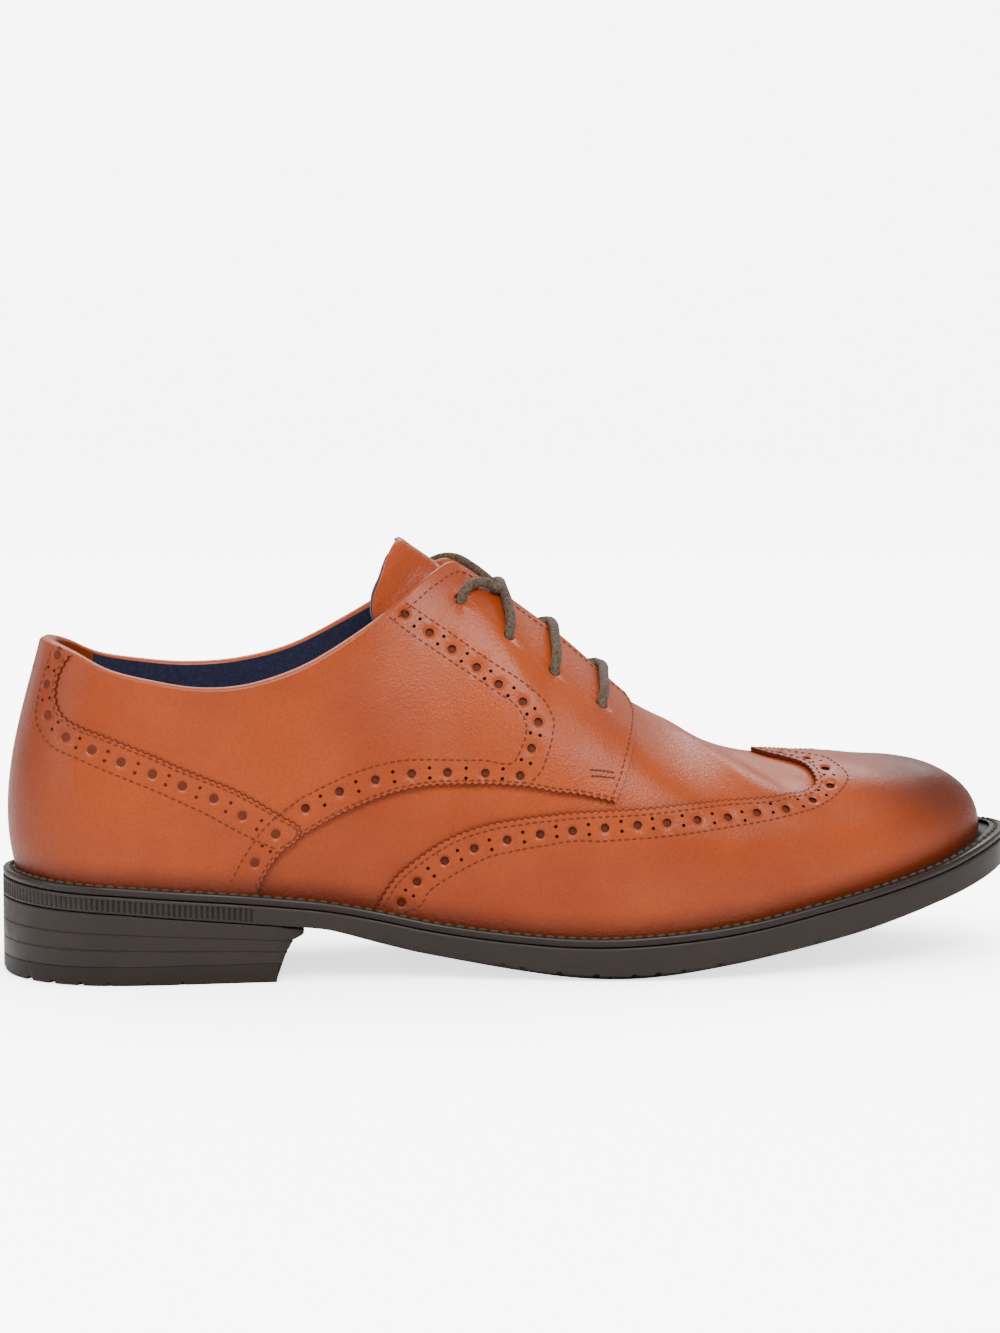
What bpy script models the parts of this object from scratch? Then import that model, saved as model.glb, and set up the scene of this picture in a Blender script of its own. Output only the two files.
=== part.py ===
"""A brogue shoe for the right foot, empty, standing on its own sole.

Millimetres in the tables and functions, metres in the meshes. X runs from the heel towards the toe,
the outer (lateral) side of the foot is at -Y, Z is up. "Station" is a distance from the rear end of
the sole; the row frame starts HEEL_CENTRE ahead of that end.
"""

import math

import bmesh
import bpy
import numpy as np

MM = 0.001
GAP = 0.3

LENGTH = 304.0
HEEL_CENTRE = 34.0
BALL_WIDTH = 98.0
TOE_SWING = 2.0
UPPER_HEIGHT = 119.4
SOLE_HEIGHT = 28.6

WELT_SHOW = 4.2
TOE_SHOW = 8.0
WELT_THICK = 2.3
WALL = 2.2
INSOLE_THICK = 3.0
OVERLAY_THICK = 1.1
COUNTER_THICK = 1.6
TONGUE_THICK = 2.2
MEDIAL_RISE = 1.5
MEDIAL_AT = 62.0
MEDIAL_SPREAD = 22.0

RIB_PITCH = 1.6
RIB_DEPTH = 0.5

HEEL_BREAST = 77.5
BREAST_FLARE = 8.5
LIFT_THICK = 5.6
LIFT_BEVEL = 1.6
LINE_DEPTH = 0.45
LINE_HALF = 0.35

TREAD_DROP = 1.6
TREAD_INSET = 5.0
SPRING_RUN = 40.0

EYELET_DIAMETER = 3.6
LACE_DIAMETER = 3.0
LACE_CLEAR = 0.55

TONGUE_TWIST = 8.0
TONGUE_SINK = 0.8
INSOLE_CLEAR = 0.4
SOLE_RIBS_END = 1.0

# How far the cutting shapes reach past the pieces they cut.
CUTTER_REACH = 80.0
CUTTER_HIGH = 150.0
CUTTER_PAST = 5.0

# Outline of the sole from above: along is a share of LENGTH, outer and inner are shares of
# BALL_WIDTH measured to each side of the swung centre line.
OUTLINE = (
    # along, outer, inner
    (0.0000, 0.000, 0.000),
    (0.0088, 0.131, 0.129),
    (0.0345, 0.243, 0.239),
    (0.0730, 0.316, 0.311),
    (0.1180, 0.343, 0.335),
    (0.1900, 0.347, 0.323),
    (0.2630, 0.347, 0.301),
    (0.3290, 0.350, 0.290),
    (0.3950, 0.373, 0.297),
    (0.4610, 0.419, 0.328),
    (0.5260, 0.469, 0.379),
    (0.5920, 0.505, 0.430),
    (0.6450, 0.517, 0.464),
    (0.6980, 0.511, 0.482),
    (0.7500, 0.484, 0.476),
    (0.8090, 0.444, 0.450),
    (0.8620, 0.394, 0.406),
    (0.9080, 0.336, 0.349),
    (0.9440, 0.272, 0.285),
    (0.9737, 0.193, 0.203),
    (0.9928, 0.105, 0.111),
    (1.0000, 0.000, 0.000),
)

# Side view of the sole's edge: heights are shares of SOLE_HEIGHT.
SOLE_EDGE = (
    # along, top, bottom
    (0.000, 0.992, 0.801),
    (0.033, 0.958, 0.780),
    (0.099, 0.917, 0.741),
    (0.164, 0.860, 0.675),
    (0.253, 0.773, 0.584),
    (0.306, 0.704, 0.522),
    (0.354, 0.605, 0.400),
    (0.400, 0.499, 0.294),
    (0.447, 0.424, 0.202),
    (0.493, 0.374, 0.125),
    (0.539, 0.344, 0.070),
    (0.587, 0.348, 0.057),
    (0.635, 0.383, 0.094),
    (0.678, 0.430, 0.156),
    (0.727, 0.505, 0.234),
    (0.780, 0.612, 0.330),
    (0.834, 0.727, 0.438),
    (0.888, 0.855, 0.573),
    (0.923, 0.950, 0.668),
    (0.947, 1.030, 0.743),
    (0.974, 1.122, 0.835),
    (1.000, 1.200, 0.925),
)

# The ribs of the upper: each runs from the welt to the collar, the facing or the ridge. share is
# the distance round the sole from the back to the toe; top_along is a share of LENGTH, top_half of
# BALL_WIDTH, top_height of UPPER_HEIGHT. belly and shoulder are how far the curve keeps its
# direction at the foot and at the top, as shares of the rib; flare is how far it leans out at the
# foot, crown how flat it arrives at the top, in degrees.
RIBS = (
    # share, top_along, top_half, top_height, belly, flare, shoulder, crown
    (0.000, 0.0395, 0.000, 0.819, 0.36, 15, 0.30, 14),
    (0.050, 0.0461, 0.107, 0.817, 0.36, 14, 0.30, 13),
    (0.100, 0.0658, 0.190, 0.797, 0.35, 12, 0.30, 10),
    (0.150, 0.0970, 0.251, 0.757, 0.34, 9, 0.30, 6),
    (0.200, 0.1365, 0.288, 0.732, 0.33, 7, 0.30, 2),
    (0.270, 0.1941, 0.302, 0.712, 0.33, 6, 0.30, 0),
    (0.330, 0.2434, 0.292, 0.725, 0.33, 8, 0.30, 2),
    (0.380, 0.2911, 0.261, 0.765, 0.33, 9, 0.30, 8),
    (0.430, 0.3421, 0.217, 0.838, 0.34, 10, 0.30, 18),
    (0.470, 0.3770, 0.171, 0.898, 0.35, 10, 0.32, 28),
    (0.510, 0.4161, 0.108, 0.973, 0.36, 10, 0.34, 40),
    (0.535, 0.4395, 0.063, 1.000, 0.37, 10, 0.36, 48),
    (0.560, 0.4655, 0.051, 0.963, 0.38, 10, 0.38, 54),
    (0.600, 0.5115, 0.051, 0.879, 0.40, 10, 0.40, 60),
    (0.640, 0.5536, 0.051, 0.796, 0.42, 10, 0.42, 64),
    (0.680, 0.5954, 0.051, 0.700, 0.44, 10, 0.44, 70),
    (0.705, 0.6204, 0.037, 0.648, 0.45, 10, 0.46, 76),
    (0.720, 0.6336, 0.000, 0.630, 0.46, 9, 0.47, 80),
    (0.750, 0.6563, 0.000, 0.602, 0.47, 9, 0.48, 84),
    (0.800, 0.6941, 0.000, 0.547, 0.48, 8, 0.50, 88),
    (0.850, 0.7350, 0.000, 0.517, 0.49, 6, 0.50, 90),
    (0.900, 0.7802, 0.000, 0.504, 0.44, 2, 0.49, 90),
    (0.950, 0.8201, 0.000, 0.496, 0.43, 1, 0.48, 90),
    (1.000, 0.8589, 0.000, 0.493, 0.37, 3, 0.44, 90),
)
THROAT_SHARE = 0.720

# Shares round the sole between which the laid on pieces are made before their outlines are cut.
WING_BACK = 0.34
QUARTER_BACK = 0.02
QUARTER_FRONT = 0.76
COUNTER_AHEAD = 0.40


# Edges of the leather pieces laid on the upper, seen from the side: along is a share of LENGTH,
# height a share of UPPER_HEIGHT.
WING_LINE = (
    # along, height
    (0.3360, 0.110),
    (0.3569, 0.191),
    (0.3717, 0.251),
    (0.3905, 0.292),
    (0.4253, 0.350),
    (0.4582, 0.379),
    (0.4921, 0.397),
    (0.5247, 0.407),
    (0.6007, 0.417),
    (0.6474, 0.424),
    (0.6954, 0.427),
    (0.7332, 0.429),
    (0.7589, 0.433),
    (0.7790, 0.440),
    (0.7885, 0.452),
    (0.7900, 0.468),
    (0.7880, 0.481),
    (0.7800, 0.492),
    (0.7635, 0.503),
    (0.7526, 0.509),
    (0.7420, 0.516),
    (0.7400, 0.620),
)
QUARTER_LINE = (
    # along, height
    (0.6180, 0.720),
    (0.6151, 0.642),
    (0.6095, 0.604),
    (0.5984, 0.548),
    (0.5845, 0.470),
    (0.5776, 0.433),
    (0.5566, 0.446),
    (0.5207, 0.458),
    (0.4924, 0.472),
    (0.4497, 0.474),
    (0.4066, 0.470),
    (0.3641, 0.450),
    (0.3280, 0.415),
    (0.3036, 0.384),
    (0.2840, 0.357),
)
COUNTER_LINE = (
    # along, height
    (0.0707, 0.860),
    (0.0687, 0.793),
    (0.0605, 0.776),
    (0.0530, 0.732),
    (0.0516, 0.689),
    (0.0572, 0.655),
    (0.0707, 0.632),
    (0.0918, 0.611),
    (0.1155, 0.588),
    (0.1391, 0.563),
    (0.1638, 0.534),
    (0.1872, 0.508),
    (0.2118, 0.483),
    (0.2359, 0.450),
    (0.2605, 0.411),
    (0.2790, 0.368),
)
COUNTER_FRONT = (
    # along, height
    (0.2786, 0.349),
    (0.2625, 0.316),
    (0.2526, 0.286),
    (0.2431, 0.241),
    (0.2390, 0.120),
)

# Lace holes on each side: share round the sole and rise up the rib.
EYELETS = (
    # share, rise
    (0.518, 0.897),
    (0.545, 0.800),
    (0.578, 0.770),
    (0.614, 0.740),
)
# How far ahead of its eyelet each strand reaches the edge of the facing.
LACE_AHEAD = (0.036, 0.036, 0.045, 0.056)

# Tongue above the facings: middle and edge points; along is a share of LENGTH, heights are shares
# of UPPER_HEIGHT, half is a share of BALL_WIDTH.
TONGUE_TOP = (
    # mid_along, mid_height, edge_along, edge_height, half, twist
    (0.4240, 0.999, 0.3960, 0.805, 0.138, 0.30),
    (0.4161, 1.013, 0.3620, 0.855, 0.128, 0.60),
    (0.4079, 1.028, 0.3570, 0.909, 0.120, 0.85),
    (0.3997, 1.042, 0.3650, 0.966, 0.106, 0.80),
    (0.3931, 1.055, 0.3750, 1.027, 0.071, 0.50),
    (0.3882, 1.062, 0.3856, 1.060, 0.015, 0.10),
)
TONGUE_ROWS = (0.775, 0.750, THROAT_SHARE, 0.700, 0.670, 0.640, 0.610, 0.585, 0.560, 0.535)


# The form of the last
def blend(xs, ys, x):
    """A smooth curve through the rows of a table, read at x."""
    xs = np.asarray(xs, float)
    ys = np.asarray(ys, float)
    x = np.clip(np.asarray(x, float), xs[0], xs[-1])
    steps = np.diff(xs)
    rises = np.diff(ys) / steps
    slopes = np.empty_like(ys)
    slopes[1:-1] = (rises[:-1] * steps[1:] + rises[1:] * steps[:-1]) / (steps[:-1] + steps[1:])
    slopes[0] = rises[0]
    slopes[-1] = rises[-1]
    i = np.clip(np.searchsorted(xs, x, side="right") - 1, 0, len(xs) - 2)
    t = (x - xs[i]) / steps[i]
    a = (2 * t**3 - 3 * t**2 + 1) * ys[i]
    b = (t**3 - 2 * t**2 + t) * slopes[i] * steps[i]
    c = (3 * t**2 - 2 * t**3) * ys[i + 1]
    d = (t**3 - t**2) * slopes[i + 1] * steps[i]
    return a + b + c + d


def swing(station):
    return TOE_SWING * (np.asarray(station, float) / LENGTH) ** 3


def sole_top(station):
    rows = np.array(SOLE_EDGE)
    return blend(rows[:, 0] * LENGTH, rows[:, 1] * SOLE_HEIGHT, station)


def sole_bottom(station):
    rows = np.array(SOLE_EDGE)
    return blend(rows[:, 0] * LENGTH, rows[:, 2] * SOLE_HEIGHT, station)


def edge_curve(side):
    """Dense points of one side of the sole's outline, back to toe, with their outward direction."""
    rows = np.array(OUTLINE)
    halves = {}
    for key, column in ((-1, 1), (1, 2)):
        x = rows[:, 0] * LENGTH
        halves[key] = np.stack([x, key * rows[:, column] * BALL_WIDTH + swing(x)], 1)
    outer = halves[-1]
    inner = halves[1][-2:0:-1]
    loop = np.concatenate([inner, outer, inner, outer[:4]])
    chord = np.concatenate([[0.0], np.cumsum(np.linalg.norm(np.diff(loop, axis=0), axis=1))])
    back = len(inner)
    tip = back + len(outer) - 1
    round_again = tip + len(inner) + 1
    if side < 0:
        fine = np.linspace(chord[back], chord[tip], 1601)
    else:
        fine = np.linspace(chord[round_again], chord[tip], 1601)
    xy = np.stack([blend(chord, loop[:, 0], fine), blend(chord, loop[:, 1], fine)], 1)
    run = np.gradient(xy, axis=0)
    out = np.stack([side * -run[:, 1], side * run[:, 0]], 1)
    out /= np.linalg.norm(out, axis=1)[:, None]
    arc = np.concatenate([[0.0], np.cumsum(np.linalg.norm(np.diff(xy, axis=0), axis=1))])
    return arc / arc[-1], xy, out, arc[-1]


CURVES = {side: edge_curve(side) for side in (-1, 1)}


def edge(side, share, inset=0.0):
    """Point and outward direction of the sole's outline at a share of the way round."""
    shares, xy, out, _ = CURVES[side]
    ox = np.interp(share, shares, out[:, 0])
    oy = np.interp(share, shares, out[:, 1])
    x = np.interp(share, shares, xy[:, 0]) - inset * ox
    y = np.interp(share, shares, xy[:, 1]) - inset * oy
    return x, y, ox, oy


NEAR = 0.02


def rib(side, share, rise):
    """Point of the last's outer form: share round the sole, rise 0 at the welt and 1 at the top."""
    share = np.asarray(share, float)
    rise = np.asarray(rise, float)
    rows = np.array(RIBS)
    keys = rows[:, 0]
    toe = np.clip((share - 0.5) / 0.5, 0.0, 1.0) ** 2
    fx, fy, ox, oy = edge(side, share, WELT_SHOW + (TOE_SHOW - WELT_SHOW) * toe)
    foot = np.stack([fx, fy, sole_top(fx) + WELT_THICK + 2 * GAP], -1)
    along = blend(keys, rows[:, 1] * LENGTH, share)
    half = np.maximum(blend(keys, rows[:, 2] * BALL_WIDTH, share), 0.0)
    half = np.where(share >= THROAT_SHARE, 0.0, half)
    height = blend(keys, rows[:, 3] * UPPER_HEIGHT, share)
    if side > 0:
        height = height + MEDIAL_RISE * np.exp(-(((along - MEDIAL_AT) / MEDIAL_SPREAD) ** 2))
    top = np.stack([along, side * half + swing(along), height], -1)
    before = np.clip(share, NEAR, 1.0 - NEAR) - NEAR
    after = before + 2 * NEAR
    dx = (blend(keys, rows[:, 1], after) - blend(keys, rows[:, 1], before)) * LENGTH
    dz = (blend(keys, rows[:, 3], after) - blend(keys, rows[:, 3], before)) * UPPER_HEIGHT
    slope = np.clip(dz / np.maximum(dx, 1.0), -1.2, 1.2)
    chord = np.linalg.norm(top - foot, axis=-1)
    flare = np.radians(blend(keys, rows[:, 5], share))
    crown = np.radians(blend(keys, rows[:, 7], share))
    belly = chord * blend(keys, rows[:, 4], share)
    shoulder = chord * blend(keys, rows[:, 6], share)
    outward = np.stack([np.sin(flare) * ox, np.sin(flare) * oy, np.cos(flare)], -1)
    first = foot + outward * belly[..., None]
    level = foot[..., :2] - top[..., :2]
    level = level / np.maximum(np.linalg.norm(level, axis=-1), 1e-6)[..., None]
    lean = np.sin(crown)
    fall = -np.cos(crown) + slope * level[..., 0] * lean**3
    second = top + np.stack([level[..., 0] * lean, level[..., 1] * lean, fall], -1) * shoulder[..., None]
    t = rise[..., None]
    return (1 - t) ** 3 * foot + 3 * (1 - t) ** 2 * t * first + 3 * (1 - t) * t**2 * second + t**3 * top


def form(side, share, rise, lift=0.0):
    """The form moved out by lift along its own normal."""
    share, rise = np.broadcast_arrays(np.asarray(share, float), np.asarray(rise, float))
    here = rib(side, share, rise)
    e = 0.004
    du = rib(side, np.clip(share + e, 0, 1), rise) - rib(side, np.clip(share - e, 0, 1), rise)
    dv = rib(side, share, np.clip(rise + e, 0, 1)) - rib(side, share, np.clip(rise - e, 0, 1))
    n = np.cross(du, dv) * -side
    ends = (share < 1e-6) | (share > 1 - 1e-6)
    ridge = (rise > 1 - 1e-6) & (share > THROAT_SHARE - 1e-6) & ~ends
    flat = np.zeros_like(share)
    at_end = np.stack([dv[..., 2], flat, -dv[..., 0]], -1) * np.where(share > 0.5, 1.0, -1.0)[..., None]
    at_ridge = np.stack([-du[..., 2], flat, du[..., 0]], -1)
    n = np.where(ends[..., None], at_end, np.where(ridge[..., None], at_ridge, n))
    n = n / np.maximum(np.linalg.norm(n, axis=-1), 1e-9)[..., None]
    return here + n * lift


STATIONS = np.concatenate(
    [
        np.linspace(0.0, 0.28, 11),
        np.linspace(0.28, 0.50, 7)[1:],
        [0.520, 0.535, 0.550],
        np.linspace(0.55, THROAT_SHARE, 6)[1:],
        np.linspace(THROAT_SHARE, 1.0, 10)[1:],
    ]
)
RISES = np.linspace(0.0, 1.0, 8)
EYELET_SIDES = 10
LACE_SIDES = 6
BASE_LIFT = -(OVERLAY_THICK + GAP)
LEATHER = (0.42, 0.16, 0.07, 1.0)
DARK_LEATHER = (0.30, 0.11, 0.05, 1.0)
RUBBER = (0.07, 0.05, 0.045, 1.0)
WELT_COLOUR = (0.10, 0.06, 0.045, 1.0)
LINING = (0.35, 0.20, 0.12, 1.0)
CORD = (0.14, 0.12, 0.10, 1.0)


def material(name, colour, roughness):
    made = bpy.data.materials.new(name)
    made.use_nodes = True
    shader = made.node_tree.nodes["Principled BSDF"]
    shader.inputs["Base Color"].default_value = colour
    shader.inputs["Roughness"].default_value = roughness
    return made


def make(name, corners, faces, colour=None, roughness=0.5):
    """A closed object from points in station millimetres."""
    mesh = bmesh.new()
    placed = [mesh.verts.new(((x - HEEL_CENTRE) * MM, y * MM, z * MM)) for x, y, z in corners]
    for face in faces:
        mesh.faces.new([placed[i] for i in face])
    bmesh.ops.remove_doubles(mesh, verts=mesh.verts, dist=0.01 * MM)
    bmesh.ops.dissolve_degenerate(mesh, edges=mesh.edges, dist=0.01 * MM)
    bmesh.ops.triangulate(mesh, faces=mesh.faces)
    bmesh.ops.recalc_face_normals(mesh, faces=mesh.faces)
    data = bpy.data.meshes.new(name)
    mesh.to_mesh(data)
    mesh.free()
    thing = bpy.data.objects.new(name, data)
    bpy.context.scene.collection.objects.link(thing)
    if colour:
        data.materials.append(material(name, colour, roughness))
        for polygon in data.polygons:
            polygon.use_smooth = True
    return thing


def cut(thing, cutter, operation):
    cutter.hide_render = True
    cutter.display_type = "WIRE"
    step = thing.modifiers.new(cutter.name, "BOOLEAN")
    step.operation = operation
    step.solver = "EXACT"
    step.object = cutter


def loops(rings, closed_ends=True, wrap=True):
    """Corners and faces of a skin through equally long rings."""
    count = len(rings[0])
    corners = [tuple(p) for ring in rings for p in ring]
    faces = []
    for i in range(len(rings) - 1):
        for j in range(count if wrap else count - 1):
            k = (j + 1) % count
            faces.append((i * count + j, i * count + k, (i + 1) * count + k, (i + 1) * count + j))
    if closed_ends:
        faces.append(tuple(range(count)))
        faces.append(tuple((len(rings) - 1) * count + j for j in reversed(range(count))))
    return corners, faces


# Pieces of the sole
def bottom(station):
    """Lower edge of the sole's side: the heel seat behind the breast, the tread's rim ahead of it."""
    return np.maximum(sole_bottom(station), 0.0)


def tread(station):
    """Underside within the rim, which reaches the ground under the ball of the foot."""
    fore = np.clip((np.asarray(station, float) - HEEL_BREAST) / SPRING_RUN, 0.0, 1.0)
    return np.maximum(sole_bottom(station) - TREAD_DROP * fore, 0.0)


def plate(shares, low, high):
    """A plate between two heights over the station, cut to the sole's outline."""
    rings = []
    for share in shares:
        ring = []
        for side in (-1, 1):
            x, y, _, _ = edge(side, share)
            levels = (high(x), low(x)) if side < 0 else (low(x), high(x))
            ring += [(x, y, z) for z in levels]
        rings.append(ring)
    return loops(rings, closed_ends=False)


def build_outsole():
    arc = CURVES[-1][3]
    heel_end = 0.0
    while edge(-1, heel_end)[0] < HEEL_BREAST - SOLE_RIBS_END:
        heel_end += RIB_PITCH / 2 / arc
    heel = np.arange(0.0, heel_end, RIB_PITCH / 2 / arc)
    fore = STATIONS[STATIONS > heel[-1] + 0.005]
    shares = np.concatenate([heel, fore])
    rings = []
    for i, share in enumerate(shares):
        depth = RIB_DEPTH if i % 2 and i < len(heel) - 1 else 0.0
        ring = []
        for side in (-1, 1):
            x, y, _, _ = edge(side, share, depth)
            at = edge(side, share)[0]
            within = min(TREAD_INSET / max(abs(y - swing(x)), TREAD_INSET), 1.0)
            column = [(x, y, float(sole_top(at))), (x, y, float(bottom(at)))]
            column.append((x, y + (swing(x) - y) * within, float(tread(at))))
            ring += column if side < 0 else column[::-1]
        rings.append(ring)
    corners, faces = loops(rings, closed_ends=False)
    return make("outsole", corners, faces, RUBBER, 0.6)


def heel_ring(height, inset, flare):
    """One level of the heel: round the back, then across the hollow breast."""
    ring = []
    ends = [np.interp(HEEL_BREAST - inset, CURVES[s][1][:, 0], CURVES[s][0]) for s in (-1, 1)]
    for side, end in zip((-1, 1), ends):
        shares = end * np.linspace(1.0, 0.0, 15) ** 0.85
        column = [edge(side, share, inset)[:2] for share in shares]
        if side > 0:
            column = column[-2::-1]
        ring += column
    outer = ring[0][1]
    inner = ring[-1][1]
    for portion in (0.96, 0.75, 0.5, 0.25, 0.04):
        ring.append((HEEL_BREAST - inset + flare, outer + (inner - outer) * portion))
    return [(x, y, float(height(x))) for x, y in ring]


def build_heel():
    top_lift = [
        heel_ring(lambda x: 0.0, LIFT_BEVEL * 0.5, 0.0),
        heel_ring(lambda x: LIFT_BEVEL, 0.0, 0.0),
        heel_ring(lambda x: LIFT_THICK, 0.0, 0.0),
    ]
    corners, faces = loops(top_lift)
    make("top_lift", corners, faces, RUBBER, 0.75)
    foot = LIFT_THICK + GAP

    def level(portion, shift=0.0):
        return lambda x: foot + portion * (float(tread(x)) - GAP - foot) + shift

    rings = []
    for portion, shift, inset in (
        (0.0, 0.0, 0.0),
        (0.31, -LINE_HALF, 0.0),
        (0.31, 0.0, LINE_DEPTH),
        (0.31, LINE_HALF, 0.0),
        (0.62, -LINE_HALF, 0.0),
        (0.62, 0.0, LINE_DEPTH),
        (0.62, LINE_HALF, 0.0),
        (1.0, 0.0, 0.0),
    ):
        rings.append(heel_ring(level(portion, shift), inset, BREAST_FLARE * portion**2))
    corners, faces = loops(rings)
    make("heel_block", corners, faces, RUBBER, 0.6)


def build_plates():
    corners, faces = plate(
        STATIONS, lambda x: float(sole_top(x)) + GAP, lambda x: float(sole_top(x)) + GAP + WELT_THICK
    )
    make("welt_midsole", corners, faces, WELT_COLOUR, 0.6)
    rings = []
    inner = BASE_LIFT - WALL - GAP - INSOLE_CLEAR
    for share in STATIONS:
        ring = []
        for side in (-1, 1):
            rise = np.interp(share, (0.88, 0.95), (0.0, 0.08))
            x, y, _ = form(-1 if share in (0.0, 1.0) else side, share, rise, inner)
            z = float(sole_top(x)) + WELT_THICK + 2 * GAP
            levels = (z + INSOLE_THICK, z) if side < 0 else (z, z + INSOLE_THICK)
            ring += [(x, y, level) for level in levels]
        rings.append(ring)
    corners, faces = loops(rings, closed_ends=False)
    make("insole", corners, faces, LINING, 0.7)


# Pieces of the upper
def shell(sides, shares, inner, outer, rises=RISES):
    """Corners and faces of the form's skin between two lifts, closed along its own edges."""
    corners = []
    faces = []
    seam_back = len(sides) == 2 and shares[0] == 0.0
    seam_toe = len(sides) == 2 and shares[-1] == 1.0
    first = {}
    for side in sides:
        grid = {}
        s, r = np.meshgrid(shares, rises, indexing="ij")
        for key, lift in (("out", outer), ("in", inner)):
            points = form(side, s, r, lift)
            points[:, 0, 2] = form(side, s[:, 0], r[:, 0])[:, 2]
            if key in first:
                ends = ((s == 0.0) & seam_back) | ((s == 1.0) & seam_toe)
                ridge = (r == 1.0) & (s >= THROAT_SHARE - 1e-9)
                points = np.where((ends | ridge)[..., None], first[key], points)
            first.setdefault(key, points)
            start = len(corners)
            corners += [tuple(p) for p in points.reshape(-1, 3)]
            grid[key] = lambda i, j, start=start: start + i * len(rises) + j
        last = len(shares) - 1
        rim = len(rises) - 1
        for i in range(last):
            for j in range(rim):
                for key in ("out", "in"):
                    g = grid[key]
                    faces.append((g(i, j), g(i + 1, j), g(i + 1, j + 1), g(i, j + 1)))
            open_top = not (len(sides) == 2 and shares[i] >= THROAT_SHARE - 1e-9)
            for j, closed in ((0, True), (rim, open_top)):
                if closed:
                    o, n = grid["out"], grid["in"]
                    faces.append((o(i, j), o(i + 1, j), n(i + 1, j), n(i, j)))
        for i, joined in ((0, seam_back), (last, seam_toe)):
            if not joined:
                o, n = grid["out"], grid["in"]
                for j in range(rim):
                    faces.append((o(i, j), o(i, j + 1), n(i, j + 1), n(i, j)))
    return corners, faces


def shares_between(first, last):
    inside = STATIONS[(STATIONS > first + 1e-6) & (STATIONS < last - 1e-6)]
    return np.concatenate([[first], inside, [last]])


def shifted(line, distance):
    """A line of the side view moved sideways, to the left of its run."""
    points = np.array(line) * (LENGTH, UPPER_HEIGHT)
    run = np.gradient(points, axis=0)
    left = np.stack([-run[:, 1], run[:, 0]], 1)
    left /= np.linalg.norm(left, axis=1)[:, None]
    return [tuple(p) for p in points + left * distance]


def prism(name, outline):
    near = [(x, -CUTTER_REACH, z) for x, z in outline]
    far = [(x, CUTTER_REACH, z) for x, z in outline]
    corners, faces = loops([near, far])
    return make(name, corners, faces)


def eyelet_cutter(side):
    corners = []
    faces = []
    for share, rise in EYELETS:
        low = form(side, share, rise, BASE_LIFT - WALL - CUTTER_PAST)
        high = form(side, share, rise, CUTTER_PAST)
        axis = (high - low) / np.linalg.norm(high - low)
        across = np.cross(axis, (0.0, 1.0, 0.0))
        across /= np.linalg.norm(across)
        other = np.cross(axis, across)
        rings = []
        for centre in (low, high):
            ring = []
            for k in range(EYELET_SIDES):
                a = 2 * math.pi * k / EYELET_SIDES
                ring.append(centre + EYELET_DIAMETER / 2 * (math.cos(a) * across + math.sin(a) * other))
            rings.append(ring)
        more, skin = loops(rings)
        faces += [tuple(i + len(corners) for i in face) for face in skin]
        corners += more
    return make("eyelets_" + ("outer" if side < 0 else "inner"), corners, faces)


def build_upper():
    corners, faces = shell((-1, 1), STATIONS, BASE_LIFT - WALL, BASE_LIFT)
    upper = make("upper", corners, faces, LEATHER, 0.45)
    holes = {side: eyelet_cutter(side) for side in (-1, 1)}
    for side in (-1, 1):
        cut(upper, holes[side], "DIFFERENCE")

    wing = [tuple(p) for p in np.array(WING_LINE) * (LENGTH, UPPER_HEIGHT)]
    past = LENGTH + CUTTER_PAST
    wing += [(past, wing[-1][1]), (past, -CUTTER_PAST), (wing[0][0], -CUTTER_PAST)]
    corners, faces = shell((-1, 1), shares_between(WING_BACK, 1.0), BASE_LIFT + GAP, 0.0)
    cap = make("wing_cap", corners, faces, DARK_LEATHER, 0.4)
    cut(cap, prism("wing_outline", wing), "INTERSECT")

    behind = shifted(COUNTER_LINE, 1.3 * GAP)
    front = [tuple(p) for p in np.array(QUARTER_LINE) * (LENGTH, UPPER_HEIGHT)]
    outline = behind + front[::-1]
    outline += [(front[0][0], CUTTER_HIGH), (behind[0][0], CUTTER_HIGH)]
    for side, name in ((-1, "quarter_outer"), (1, "quarter_inner")):
        corners, faces = shell((side,), shares_between(QUARTER_BACK, QUARTER_FRONT), BASE_LIFT + GAP, 0.0)
        quarter = make(name, corners, faces, LEATHER, 0.4)
        cut(quarter, prism(name + "_outline", outline), "INTERSECT")
        cut(quarter, holes[side], "DIFFERENCE")

    top = [tuple(p) for p in np.array(COUNTER_LINE) * (LENGTH, UPPER_HEIGHT)]
    lower = [tuple(p) for p in np.array(COUNTER_FRONT) * (LENGTH, UPPER_HEIGHT)]
    outline = top + lower + [(lower[-1][0], -CUTTER_PAST), (-CUTTER_PAST, -CUTTER_PAST)]
    outline += [(-CUTTER_PAST, CUTTER_HIGH), (top[0][0], CUTTER_HIGH)]
    inner = BASE_LIFT + GAP
    outer = inner + COUNTER_THICK
    corners, faces = shell((-1, 1), shares_between(0.0, COUNTER_AHEAD), inner, outer)
    counter = make("counter", corners, faces, LEATHER, 0.4)
    cut(counter, prism("counter_outline", outline), "INTERSECT")


def tongue_under(share, lift):
    """A row of points across the tongue under the facings, from one side over the ridge to the other."""
    foot_rise = np.interp(share, (0.535, 0.625), (0.78, 0.70))
    sides = [[form(side, share, r, lift) for r in np.linspace(foot_rise, 1.0, 5)] for side in (-1, 1)]
    ridge = (sides[0][-1] + sides[1][-1]) / 2
    row = sides[0] + [ridge] + sides[1][::-1]
    if share >= THROAT_SHARE:
        row[4] = (row[3] + ridge) / 2
        row[6] = (row[7] + ridge) / 2
    return row


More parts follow.
